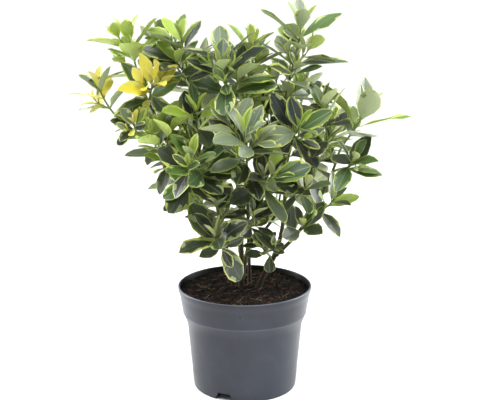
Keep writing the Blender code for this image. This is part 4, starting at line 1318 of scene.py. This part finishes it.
def limb_surface(curve, radii, sides, spacing, nodes, relief, seed, flare=False):
    """A limb as (rings, sides, 3) points, and the length run at each ring.

    The taper runs evenly between its two radii, times 1 + collar and 1 + node rings. A stem has
    its root flare in place of the collar.
    """
    start, start_way, end, end_way = curve
    count = max(6, int((end - start).length * BENT_LENGTH / spacing))
    points, ways = map(np.array, bezier(start - start_way * SEAT_DEPTH, start_way, end, end_way, count))
    run = np.concatenate([[0.0], np.cumsum(np.linalg.norm(np.diff(points, axis=0), axis=1))])
    taper = radii[0] + (radii[-1] - radii[0]) * run / run[-1]
    if flare:
        taper = taper + FLARE_SIZE * np.exp(-run / FLARE_HEIGHT)
    else:
        taper = taper * (1.0 + COLLAR_SIZE * np.exp(-run / COLLAR_LENGTH))
    off_node = (run[-1] - run)[:, None] - np.array(nodes)
    taper = taper * (1.0 + NODE_SWELLING * np.exp(-((off_node / NODE_WIDTH) ** 2)).sum(axis=1))
    chord = points[-1] - points[0]
    hint = np.cross(chord, ways[0] + ways[-1] + np.array([0.0, 0.0, 0.013]))
    if np.linalg.norm(hint) < 1e-7:
        hint = np.cross(chord, np.array(RIGHT))
    side = hint - ways * (ways @ hint)[:, None]
    side /= np.linalg.norm(side, axis=1, keepdims=True)
    radius = furrowed(taper, run, sides, relief, seed)
    return rings_round(points, side, np.cross(ways, side), radius), run


def limb_map(run, sides):
    """The surface map of a limb, corner by corner: the turn round it, and its length in units."""
    low, high = run[:-1] * UV_PER_METRE, run[1:] * UV_PER_METRE
    here = np.arange(sides) / sides
    there = here + 1.0 / sides
    turns = np.stack([here, there, there, here], axis=-1)[None]
    lengths = np.stack([low, low, high, high], axis=-1)[:, None]
    corners = np.stack(np.broadcast_arrays(turns, lengths), axis=-1).reshape(-1, 2)
    return np.vstack([corners, np.full((2 * sides, 2), 0.5)])


def old_nodes(length, seed):
    """Distances back from the end of a bare limb at which leaf pairs once stood."""
    draw = random.Random(seed)
    places = []
    back = draw.uniform(*BARE_FIRST_NODE)
    while back < length - BARE_TIP:
        places.append(back)
        back += draw.uniform(*BARE_NODE_STEPS)
    return places


print("a bough has rings at", [round(place, 3) for place in old_nodes(0.1, 3)])

# %% [markdown]
# Young spindle wood is olive green and slightly ridged. Towards the foot it turns to a brown-grey
# bark with small pale pores. One material does both: it reads height above the pot, broken up by
# noise, and streaks from the limb's own surface map. The old bark, the dark streaks and the pores are
# also painted darker than bark is, as painted shade under the crown.

# %% Bark material
def make_bark(name, brown_below, brown_above, young, old_and_shaded):
    """Bark between an old and a young colour by height, with streaks, pores and furrows.

    The young share is (height - brown_below) / (brown_above - brown_below), plus patchy noise.
    The old colour, the streaks and the pores are darkened as painted shade.
    """
    material, tree, shader = new_material(name, young, 0.6, 0.18)
    rise = 1.0 / (brown_above - brown_below)
    share = add_math(tree, "MULTIPLY_ADD", apart(tree, object_place(tree))[2], rise, -brown_below * rise)
    patch = mottled(tree, Scale=120.0, Level=0.5, Contrast=2.0, Stretch=0.5)
    uneven = add_math(tree, "ADD", share, add_math(tree, "MULTIPLY_ADD", patch, 0.7, -0.35))
    colour = mix_colours(tree, held(tree, uneven, 0.0, 1.0), old_and_shaded, young)
    drawn = add_node(tree, "Mapping", {"Vector": surface_place(tree), "Scale": (14.0, 1.1, 1.0)})
    streak = add_noise(tree, drawn.outputs[0], 1.0, 4.0)
    dark = held(tree, add_math(tree, "MULTIPLY_ADD", streak, 1.4, -0.45), 0.0, 0.75)
    # Painted shade: the streaks and the pores are darker than the bark's own colour
    colour = mix_colours(tree, dark, colour, screen(32, 28, 21))
    pores = mottled(tree, Scale=900.0, Level=0.70, Contrast=14.0, Stretch=0.6)
    colour = mix_colours(tree, add_math(tree, "MULTIPLY", pores, 0.5), colour, screen(112, 104, 80))
    gloss = add_math(tree, "MULTIPLY_ADD", streak, 0.3, 0.56)
    fill(tree, shader, {"Base Color": colour, "Roughness": gloss})
    add_bump(tree, shader, streak, 0.5, 0.0006)
    return material


# The stem's old bark tone is the real older bark at the foot, darkened further as painted shade under the
# crown
STEM_BARK = make_bark("stem_bark", 0.160, 0.270, screen(86, 94, 58), screen(50, 39, 27))
TWIG_BARK = make_bark("young_bark", 0.130, 0.300, screen(118, 138, 76), screen(96, 106, 62))
print("bark materials:", STEM_BARK.name, "and", TWIG_BARK.name)

# %% [markdown]
# Each stem and bough is a piece of its own, so that it can be reused or swapped. The many thin
# shoots and twigs could be pieces too, but joined in one they are easier to keep together.

# %% Stems, boughs and twigs
STEM_TURNS, BOUGH_TURNS, SHOOT_TURNS, TWIG_TURNS = 18, 14, 8, 6
STEM_RELIEF, BOUGH_RELIEF, TWIG_RELIEF = 0.07, 0.045, 0.05
LIMB_SPACING, SHOOT_SPACING, TWIG_SPACING = 0.0011, 0.0016, 0.0024
BARK_CRISP = 70.0
IN_PEAT = 0.002
NODE_END = 0.004
NODE_SEED = 60


def make_limbs():
    """One bark piece for each stem and bough, in place of its solid."""
    faces_made = 0
    for number, name in enumerate([*STEMS, *BOUGHS]):
        is_stem = name in STEMS
        curve = limbs[name].curve
        radii = (STEMS if is_stem else BOUGHS)[name][-2:]
        sides, relief = (STEM_TURNS, STEM_RELIEF) if is_stem else (BOUGH_TURNS, BOUGH_RELIEF)
        nodes = old_nodes((curve[2] - curve[0]).length, number + NODE_SEED)
        surface, run = limb_surface(curve, radii, sides, LIMB_SPACING, nodes, relief, number + 1, is_stem)
        if is_stem:
            surface[0, :, 2] -= IN_PEAT
        faces = closed_faces(len(surface), sides)
        piece = make_piece(name + "_wood", surface, faces, [STEM_BARK], BARK_CRISP, uv=limb_map(run, sides))
        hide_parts(name)
        faces_made += len(faces)
    return faces_made


def leaf_backs(points):
    """Distances back from a shoot's tip at which its pairs stand."""
    places = itertools.accumulate(NODE_STEPS * 3, initial=FIRST_NODE)
    return [place for place in places if place < limb_length(points) - NODE_END]


def all_twigs(kind):
    """Every twig of a kind, mass by mass."""
    return [twig for made in kind.values() for twig in made]


def make_twigs():
    """Every shoot and twig, joined into one piece of thin tubes."""
    points, faces, maps = [], [], []
    thin = [(limbs[name], SHOOT_TURNS, SHOOT_SPACING) for name in MASSES]
    thin += [(twig, TWIG_TURNS, TWIG_SPACING) for twig in all_twigs(side_twigs) + all_twigs(fine_twigs)]
    for number, (limb, sides, spacing) in enumerate(thin):
        nodes = leaf_backs(limb.points)
        surface, run = limb_surface(limb.curve, limb.radii, sides, spacing, nodes, TWIG_RELIEF, number)
        faces += shifted(closed_faces(len(surface), sides), [sum(map(len, points))])
        points.append(surface.reshape(-1, 3))
        maps.append(limb_map(run, sides))
    piece = make_piece("leafy_twigs", np.vstack(points), faces, [TWIG_BARK], BARK_CRISP, uv=np.vstack(maps))
    return len(faces)


print("limbs:", make_limbs(), "faces, twigs:", make_twigs(), "faces")

# %% [markdown]
# The leaf of this shrub is leathery and widest past its middle, with a blunt tip. It folds a little
# along its midrib, bends back, and waves at its edge. All leaves are worked out together, as arrays
# with one row for each leaf. Strips of faces run from foot to tip: the margin, a feathered zone, the
# dark middle and the midrib. The feathered zone is cut into triangles that point back and inwards,
# because the pale colour of a variegated leaf runs in along its side veins in such teeth.

# %% Leaf faces
BLADE_STATIONS = np.array([0.05, 0.28, 0.56, 0.80, 0.945])
LEAF_COLUMNS = 8
RING_POINTS = LEAF_COLUMNS + 3
LEAF_RINGS = len(BLADE_STATIONS) + 1
LEAF_POINTS = LEAF_RINGS * RING_POINTS + 1
EDGE, TOOTH, ZONE, MIDDLE, RIB, UNDER, STALK = range(7)


def leaf_template():
    """Corner numbers of one leaf's faces, and the part of the leaf that each face belongs to.

    A ring has eight points across the upper side, one below the midrib and one near each margin.
    """
    faces, kinds = [], []
    columns = {0: EDGE, 2: MIDDLE, 3: RIB, 4: MIDDLE, 6: EDGE}
    below = [0, LEAF_COLUMNS + 1, LEAF_COLUMNS, LEAF_COLUMNS + 2, LEAF_COLUMNS - 1]
    for ring in range(LEAF_RINGS - 1):
        low, high = ring * RING_POINTS, (ring + 1) * RING_POINTS
        faces += [[low + c, high + c, high + c + 1, low + c + 1] for c in columns]
        faces += [[low + 1, high + 1, low + 2], [low + 2, high + 1, high + 2]]
        faces += [[low + 5, high + 6, low + 6], [low + 5, high + 5, high + 6]]
        faces += [[low + a, low + b, high + b, high + a] for a, b in zip(below, below[1:])]
        kinds += [*columns.values(), TOOTH, ZONE, TOOTH, ZONE, EDGE, UNDER, UNDER, EDGE]
        if ring == 0:
            kinds = [STALK] * len(kinds)
    end, tip = (LEAF_RINGS - 1) * RING_POINTS, LEAF_POINTS - 1
    faces += [[end + column, tip, end + column + 1] for column in range(LEAF_COLUMNS - 1)]
    kinds += [columns.get(column, TOOTH) for column in range(LEAF_COLUMNS - 1)]
    faces += [[end + a, end + b, tip] for a, b in zip(below, below[1:])]
    kinds += [EDGE, UNDER, UNDER, EDGE]
    faces.append(list(range(LEAF_COLUMNS)) + below[3:0:-1])
    return faces, np.array(kinds + [STALK])


template_faces, template_kinds = leaf_template()
print("one leaf has", len(template_faces), "faces on", LEAF_POINTS, "points")

# %% [markdown]
# Each leaf draws its own width, fold, bend, wave and twist, within what the plant shows. Young
# leaves at a tip are narrower and fold up more. The margin is about a millimetre wide whatever the
# leaf's size, so its share of the width is worked out from that. Its inner line wanders from ring
# to ring.

# %% Leaf shapes
LEAF_WIDTH = 0.50
LEAF_GROWN = 1.15
NARROWEST = STALK_HALF_WIDTH * 0.8
RIB_HALF, RIB_DEPTH = 0.0005, 0.0008
STALK_SHARE = 0.085
MARGIN_WIDTH = 0.00092
MARGIN_SPREAD, MARGIN_WANDER, INNER_LINE = 0.42, (0.55, 1.5), (0.50, 0.90)
MARGIN_SHARES, RIB_SHARES = (0.06, 0.55), (0.02, 0.25)
UNDER_MARGIN = 1.2
# What each leaf draws from a range, and how far a young leaf differs
RISE, FALL, WIDTH, BEAT, TWIST = (0.74, 1.15), (0.50, 0.92), (0.80, 1.12), (0.8, 1.9), (-0.30, 0.30)
FOLD, BEND = (0.04, 0.28), (0.02, 0.22)
WAVE, SWAY = 0.034, 0.06
YOUNG_PAIRS = 0.9
YOUNG_FALL, YOUNG_WIDTH, YOUNG_FOLD, YOUNG_BEND = 0.08, -0.20, 0.30, -0.05


def blade_width(share, rise, fall):
    """Half width over its largest: s^rise * (1-s)^fall, divided by its peak at rise/(rise+fall)."""
    peak_at = rise / (rise + fall)
    peak = peak_at**rise * (1.0 - peak_at) ** fall
    return share**rise * (1.0 - share) ** fall / peak


def leaf_lines(half, draw):
    """Where the lines across a leaf stand, from -1 to 1: edges, margins, inner lines and midrib.

    margin = 1 - wanted width / half width. inner = margin times a share that wanders.
    """
    both = (len(half), LEAF_RINGS, 2)
    wanted = MARGIN_WIDTH * np.exp(draw.normal(0.0, MARGIN_SPREAD, (len(half), 1, 1)))
    margin = 1.0 - np.clip(wanted * draw.uniform(*MARGIN_WANDER, both) / half, *MARGIN_SHARES)
    inner = margin * draw.uniform(*INNER_LINE, both)
    right = [np.clip(RIB_HALF / half, *RIB_SHARES), inner[..., 1:], margin[..., 1:], np.ones_like(half)]
    left = [-right[3], -margin[..., :1], -inner[..., :1], -right[0]]
    return np.concatenate(left + right, axis=-1)


def leaf_surfaces(axes, lengths, ages, slim, draw):
    """Points of all leaves, (leaves, LEAF_POINTS, 3), and their surface map per point.

    x = stalk + s * blade. y = across * half width. z = fold * |y| - bend * x^2 / length
    + wave * sin(...) * across^2 + twist * y * s. The underside is one line under the midrib.
    Arrays are (leaves, rings, places across), and what a leaf draws has one ring and one place.
    """
    count = len(lengths)
    length, young, slim = (row[:, None, None] for row in
                           (lengths * LEAF_GROWN, np.exp(-ages / YOUNG_PAIRS), slim))

    def drawn(low, high):
        """One even random number for each leaf."""
        return draw.uniform(low, high, (count, 1, 1))

    stalk = np.maximum(STALK_LENGTH, STALK_SHARE * length)
    s = np.concatenate([[0.0], BLADE_STATIONS])[:, None]
    x = stalk + s * (length - stalk)
    x[:, 0] = 0.0
    rise, fall = drawn(*RISE), drawn(*FALL) + YOUNG_FALL * young
    widest = LEAF_WIDTH * length / 2.0 * drawn(*WIDTH) * (1.0 + YOUNG_WIDTH * young) * slim
    half = np.maximum(NARROWEST, widest * blade_width(s, rise, fall))
    across = leaf_lines(half, draw)
    y = across * half
    fold = drawn(*FOLD) + YOUNG_FOLD * young
    bend = drawn(*BEND) + YOUNG_BEND * young
    wave = WAVE * length * drawn(-1.0, 1.0)
    beat, phase, twist = drawn(*BEAT), drawn(0.0, FULL_TURN), drawn(*TWIST)
    sway = SWAY * length * drawn(-1.0, 1.0)
    spine = -bend * x**2 / length
    beats = np.sin(FULL_TURN * beat * s + phase + 1.3 * np.sign(across))
    z = fold * np.abs(y) + spine + wave * beats * across**2 * s * (1.0 - s) * 4.0 + twist * y * s
    middle = sway * s * s
    top = np.stack([x + 0.0 * y, y + middle, z], axis=-1)
    below = np.stack([x, middle, spine - RIB_DEPTH * (1.3 - 0.9 * s)], axis=-1)
    margins, edges = across[..., [1, 6]], top[:, :, [0, 7]]
    sides = edges + (below - edges) * ((1.0 - np.abs(margins)) * UNDER_MARGIN)[..., None]
    rings = np.concatenate([top, below, sides], axis=2).reshape(count, -1, 3)
    tip = np.concatenate([length, sway, -bend * length], axis=-1)
    local = np.concatenate([rings, tip], axis=1)
    placed = np.einsum("nij,npj->npi", axes[:, :3, :3], local) + axes[:, None, :3, 3]
    lines = np.concatenate([across, 0.0 * x, margins], axis=-1) * 0.5 + 0.5
    surface_map = np.stack([s + 0.0 * lines, lines], axis=-1).reshape(count, -1, 2)
    return placed, np.concatenate([surface_map, np.broadcast_to([1.0, 0.5], (count, 1, 2))], axis=1)


print("half width along a leaf:", blade_width(BLADE_STATIONS, 0.9, 0.6).round(2))

# %% [markdown]
# Leaf colours are plain values on the shader, dealt out by face, so that margins stay crisp on a
# piece with hundreds of leaves. Veins and leather come from the leaf skin group. The palettes are
# dark old leaves, fresh green ones, greyer ones whose green is veiled, lime tips, and the golden
# sprays of the left side. Each has tones for the middle, the zone, the margin and the underside.

# %% Leaf colours
ZONES = ("middle", "zone", "margin", "under")
PALETTES = {
    "dark": (((30, 40, 27), (38, 49, 32), (49, 61, 40), (26, 34, 27)),
             ((70, 82, 54), (58, 71, 47), (94, 106, 76)),
             ((168, 178, 74), (148, 162, 66), (184, 188, 102)), ((148, 158, 118), (130, 142, 104))),
    "green": (((65, 92, 42), (81, 108, 51), (54, 76, 42)), ((98, 120, 64), (114, 132, 80)),
              ((180, 192, 78), (164, 180, 70), (194, 198, 110)), ((168, 180, 124), (152, 166, 112))),
    "grey": (((86, 100, 78), (104, 117, 92)), ((132, 144, 108), (118, 131, 98)),
             ((196, 202, 108), (184, 194, 96)), ((174, 185, 142), (160, 172, 130))),
    "lime": (((132, 160, 52), (150, 176, 64), (114, 144, 54)), ((152, 174, 72), (162, 180, 88)),
             ((198, 208, 90), (184, 198, 78)), ((180, 198, 108), (170, 188, 98))),
    "gold": (((202, 190, 54), (210, 200, 70), (186, 184, 64)), ((208, 196, 86), (193, 186, 80)),
             ((214, 204, 104), (204, 194, 88)), ((202, 194, 106), (190, 186, 98))),
}
PALETTE_GLOSS = {"dark": 0.30, "green": 0.31, "grey": 0.33, "lime": 0.36, "gold": 0.40}
TONE_ROUGHER, UNDER_ROUGHER = 0.03, 0.20
UPPER_SHINE, UNDER_SHINE = 0.35, 0.05
STALK_COLOUR = (136, 156, 80)


def make_leaf_material(name, colour, gloss, veins, shine):
    """Leathery leaf: a plain colour under a waxy sheen, with side veins in low relief."""
    material, tree, shader = new_material(name, screen(*colour), gloss, 0.5)
    fill(tree, shader, {"Coat Weight": shine, "Coat Roughness": 0.30})
    skin = add_node(tree, "Group", {"Veins": veins, "Leather": 1.0}, node_tree=LEAF_SKIN)
    add_bump(tree, shader, skin.outputs["Height"], 0.55, 0.0008)
    return material


def make_leaf_materials():
    """All leaf materials, and where each palette's tones start and how many there are."""
    materials = [make_leaf_material("leaf_stalk", STALK_COLOUR, 0.42, 0.0, 0.1)]
    ranges = {}
    for palette, groups in PALETTES.items():
        for zone, tones in zip(ZONES, groups):
            ranges[palette, zone] = (len(materials), len(tones))
            rougher, shine = (UNDER_ROUGHER, UNDER_SHINE) if zone == "under" else (0.0, UPPER_SHINE)
            for number, tone in enumerate(tones):
                gloss = PALETTE_GLOSS[palette] + TONE_ROUGHER * number + rougher
                name = f"leaf_{palette}_{zone}_{number + 1}"
                materials.append(make_leaf_material(name, tone, gloss, 0.5, shine))
    return materials, ranges


leaf_materials, tone_ranges = make_leaf_materials()
print(len(leaf_materials), "leaf materials")

# %% [markdown]
# Which leaf gets which palette depends on its shoot and its age. The youngest pairs are lime or
# fresh green, and old ones dark. Leaves of one pair are mostly alike. Three sprays on the left have
# lost much of their green.

# %% Deal out the colours
def recipe(text):
    """For each pair from the tip down, the shares of the palettes: "lime 6 green 4, dark 1"."""
    rows = [row.split() for row in text.split(",")]
    return [dict(zip(row[::2], map(float, row[1::2]))) for row in rows]


AGE_PALETTES = recipe("lime 46 green 36 grey 12 dark 6, lime 20 green 40 grey 20 dark 20, "
                      "lime 4 green 32 grey 14 dark 50, green 20 grey 8 dark 72")
SPRAY_PALETTES = {"foliage_" + name: recipe(text) for name, text in {
    "golden_left": "gold 1, gold 1, gold 9 lime 1, lime 5 green 5",
    "far_left": "gold 1, gold 8 grey 2, gold 5 lime 3 grey 2",
    "far_left_low": "gold 1, gold 4 grey 4 lime 2, dark 4 lime 4 gold 2",
    "left_front": "lime 6 green 4, lime 2 green 5 grey 3, green 4 dark 6",
    "upper_left": "lime 1, lime 7 gold 3, lime 7 green 3",
    "left_shoot": "lime 1, lime 5 grey 5, lime 4 grey 4 dark 2",
    "left_middle": "lime 7 green 3, lime 4 green 3 grey 3, lime 2 green 4 dark 4",
    "back_left": "lime 6 green 4, lime 4 grey 4 green 2, green 5 dark 5",
    "low_front": "green 6 dark 4, dark 8 green 2, dark 1",
    "low_right": "green 6 lime 4, dark 8 green 2, dark 1",
    "middle_low": "green 5 dark 5, dark 9 green 1, dark 1",
    "left_inner": "green 5 dark 5, dark 9 green 1, dark 1",
    "tall_right": "lime 5 green 5, lime 3 grey 7, green 5 grey 5",
    "top_left": "lime 6 green 4, lime 4 grey 6, green 6 dark 4",
    "top_left_front": "lime 7 green 3, lime 3 grey 7, green 5 dark 5",
    "top_centre": "lime 6 green 4, lime 3 green 4 grey 3, green 6 dark 4",
    "front_top": "lime 7 green 3, green 6 lime 4, green 5 dark 5",
    "right_tip": "grey 5 lime 5, grey 6 green 4, lime 4 grey 6",
    "right_side": "lime 6 green 4, lime 2 grey 5 green 3, green 5 dark 5",
    "centre_front": "lime 1, grey 8 lime 2, grey 7 dark 3, dark 1",
}.items()}
ALIKE = 0.7
FEATHER_LOW, FEATHER_POWER = 0.05, 2.4
ZONE_CHANCE, FEATHER_CHANCE = 0.25, 0.6


def pick(shares, draw):
    """One name, drawn by the shares that stand with the names."""
    weights = np.array(list(shares.values()))
    return str(draw.choice(list(shares), p=weights / weights.sum()))


def deal_palettes(rows, draw):
    """A palette's name for each leaf. Leaves of a pair share theirs with a chance of ALIKE."""
    dealt, pairs = [], {}
    for leaf in rows:
        by_age = SPRAY_PALETTES.get(leaf.mass, AGE_PALETTES)
        own = pick(by_age[min(leaf.pair, len(by_age) - 1)], draw)
        shared = pairs.setdefault((leaf.mass, leaf.pair), own)
        dealt.append(shared if draw.random() < ALIKE else own)
    return dealt


def face_slots(palettes, draw):
    """The material number of every face of every leaf, (leaves, faces).

    Teeth are of the margin's colour with a chance that each leaf draws for itself, and zone faces
    of the zone's colour. All other faces follow their part of the leaf.
    """
    tones = {}
    for zone in ZONES:
        starts, sizes = np.array([tone_ranges[palette, zone] for palette in palettes]).T
        tones[zone] = (starts + (draw.random(len(palettes)) * sizes).astype(int))[:, None]
    chance = draw.random((len(palettes), len(template_kinds)))
    feather = draw.uniform(FEATHER_LOW, 1.0, (len(palettes), 1)) ** FEATHER_POWER * FEATHER_CHANCE
    teeth = np.where(chance < feather, tones["margin"], tones["zone"])
    zone = np.where(chance < ZONE_CHANCE + feather, tones["zone"], tones["middle"])
    by_kind = {EDGE: tones["margin"], TOOTH: teeth, ZONE: zone, MIDDLE: tones["middle"],
               RIB: tones["zone"], UNDER: tones["under"], STALK: 0}
    return np.choose(template_kinds[None], list(by_kind.values()))


print("a young leaf may be", list(AGE_PALETTES[0]))

# %% [markdown]
# The leaves could be hundreds of small objects, or instances of one leaf. Here every leaf differs,
# so each part of the crown is one mesh of all its leaves, and each face holds its material's number.

# %% Leaf pieces
LEAF_SEED = 70
SLIM_SPRAYS = {"foliage_golden_left": 0.92, "foliage_far_left": 1.08, "foliage_upper_left": 0.94}
LEAF_PIECES = {
    "leaves_left": "upper_left golden_left far_left far_left_low left_middle left_shoot left_front "
                   "left_low left_inner",
    "leaves_top": "top_left top_left_front top_left_back front_top top_centre inner tall_right",
    "leaves_middle": "low_front centre_front right_front middle_low low_middle low_right slim_left "
                     "slim_right",
    "leaves_right": "middle_right right_inner right_tip right_upper right_side right_low",
    "leaves_back": "back_centre back_top back_left back_left_low back_right back_right_low "
                   "back_right_top back_low",
}


def make_leaves(name, masses, seed):
    """One piece with all the leaves of several masses, in place of their solids."""
    rows = [leaf for leaf in leaves if leaf.mass in masses]
    draw = np.random.default_rng(seed)
    axes = np.array([[list(line) for line in leaf.axes] for leaf in rows])
    lengths, ages, slim = np.array([(leaf.length, leaf.pair, SLIM_SPRAYS.get(leaf.mass, 1.0))
                                    for leaf in rows]).T
    points, surface_map = leaf_surfaces(axes, lengths, ages, slim, draw)
    slots = face_slots(deal_palettes(rows, draw), draw)
    faces = shifted(template_faces, range(0, len(rows) * LEAF_POINTS, LEAF_POINTS))
    uv = surface_map[:, np.concatenate(template_faces)]
    piece = make_piece(name, points, faces, leaf_materials, 75.0, slots.ravel(), uv)
    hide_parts(*masses)
    return len(rows), len(faces)


for number, (name, text) in enumerate(LEAF_PIECES.items()):
    masses = ["foliage_" + mass for mass in text.split()]
    print(name, "leaves and faces:", make_leaves(name, masses, LEAF_SEED + number))

# %% [markdown]
# Every shoot and twig ends in a pointed bud. It could be sculpted with scales, but it is only a few
# millimetres long, so each is a little spindle of revolution, set along its shoot.

# %% Buds
BUD_PROFILE = np.array([[0.00, 0.35], [0.16, 0.85], [0.38, 1.00], [0.62, 0.74], [0.84, 0.34], [1.00, 0.06]])
BUD_SIDES = 6
BUD_SINK = 0.0006
SHOOT_BUD, TWIG_BUD, FINE_BUD = (0.0068, 0.0017), (0.0056, 0.0015), (0.0042, 0.0011)


def bud_shapes(places, ways, lengths, radii):
    """Spindles: at share s of its length a bud's radius is its profile's value times its girth."""
    side = np.cross(ways, np.array([0.31, 0.95, 0.05]))
    side /= np.linalg.norm(side, axis=1, keepdims=True)
    angle = np.linspace(0.0, FULL_TURN, BUD_SIDES, endpoint=False)
    ridge = 1.0 + 0.10 * np.cos(2.0 * angle)
    girth = BUD_PROFILE[None, :, 1, None] * radii[:, None, None] * ridge
    line = places[:, None] + ways[:, None] * (BUD_PROFILE[:, 0] * lengths[:, None])[..., None]
    size = len(BUD_PROFILE) * BUD_SIDES
    faces = shifted(closed_faces(len(BUD_PROFILE), BUD_SIDES), range(0, len(places) * size, size))
    return rings_round(line, side[:, None], np.cross(ways, side)[:, None], girth), faces


def make_buds():
    """A bud on the tip of each shoot and twig."""
    tips = [(limbs[name], *SHOOT_BUD) for name in MASSES]
    tips += [(twig, *TWIG_BUD) for twig in all_twigs(side_twigs)]
    tips += [(twig, *FINE_BUD) for twig in all_twigs(fine_twigs)]
    places = np.array([tuple(limb.points[-1] - limb.ways[-1] * BUD_SINK) for limb, _, _ in tips])
    ways = np.array([tuple(limb.ways[-1].normalized()) for limb, _, _ in tips])
    lengths, radii = np.array([tip[1:] for tip in tips]).T
    material, tree, shader = new_material("bud_scales", screen(158, 184, 84), 0.45, 0.4)
    tone = mottled(tree, Scale=320.0, Level=0.5, Contrast=3.0)
    colour = mix_colours(tree, tone, screen(132, 164, 66), screen(184, 204, 116))
    fill(tree, shader, {"Base Color": colour})
    add_grain(tree, shader, 900.0, 0.3, 0.0003)
    buds = make_piece("shoot_buds", *bud_shapes(places, ways, lengths, radii), [material])
    return len(places)


print(make_buds(), "buds")

# %% [markdown]
# The stage is a plain white floor that runs far past the view. A wide sun gives the same light
# everywhere on it, so it stays white to the horizon. Two tall lamps at the sides leave soft bright
# bands on the pot's edges and a sheen on the leaves, and one above lights the crown. The world is
# only a dim white, so that the inner crown and the peat stay dark.

# %% Stage and light
FLOOR_HALF = 60.0
WORLD_COLOUR = (0.90, 0.95, 1.0, 1.0)
WORLD_STRENGTH = 0.34
SUN_STRENGTH = 3.2
SUN_TURN = (15.0, 3.0, 0.0)
SUN_WIDTH = 50.0
# Each lamp: its place, the height on the plant's axis that it faces, width and height, power
LAMPS = {
    "left_lamp": ((-1.25, 0.40, 0.55), 0.25, 0.7, 1.5, 38.0),
    "right_lamp": ((1.20, 0.36, 0.60), 0.25, 0.7, 1.5, 32.0),
    "top_lamp": ((-0.2, -0.9, 1.6), 0.35, 1.4, 0.8, 12.0),
}


def make_floor():
    """A flat pale floor under the pot."""
    corners = np.array([(-1, -1, 0), (1, -1, 0), (1, 1, 0), (-1, 1, 0)]) * FLOOR_HALF
    floor = plain_object("floor", corners, [[0, 1, 2, 3]])
    floor.data.materials.append(new_material("floor_white", (0.84, 0.84, 0.84, 1.0), 0.9, 0.0)[0])


def make_world():
    """An even dim world of slightly cool white."""
    world = bpy.data.worlds.new("white_world")
    world.use_nodes = True
    background = world.node_tree.nodes["Background"]
    fill(world.node_tree, background, {"Color": WORLD_COLOUR, "Strength": WORLD_STRENGTH})
    bpy.context.scene.world = world


def add_light(name, kind, place, power, turn):
    """A light of a kind at a place, turned by angles in radians."""
    lamp = add_object(name, bpy.data.lights.new(name, kind))
    lamp.data.energy = power
    lamp.location = place
    lamp.rotation_euler = turn
    return lamp


def make_lights():
    """The wide sun, and the soft lamps that face the plant's axis and don't show in the view."""
    turn = [math.radians(angle) for angle in SUN_TURN]
    sun = add_light("wide_sun", "SUN", (0.0, 0.0, 3.0), SUN_STRENGTH, turn)
    sun.data.angle = math.radians(SUN_WIDTH)
    for name, (place, aim, width, height, power) in LAMPS.items():
        turn = (Vector((0.0, 0.0, aim)) - Vector(place)).to_track_quat("-Z", "Y").to_euler()
        lamp = add_light(name, "AREA", place, power, turn)
        lamp.data.shape = "RECTANGLE"
        lamp.data.size = width
        lamp.data.size_y = height
        lamp.visible_camera = False


make_floor()
make_world()
make_lights()
bpy.context.scene.view_settings.view_transform = "Standard"
print("floor, world, sun and", len(LAMPS), "lamps")
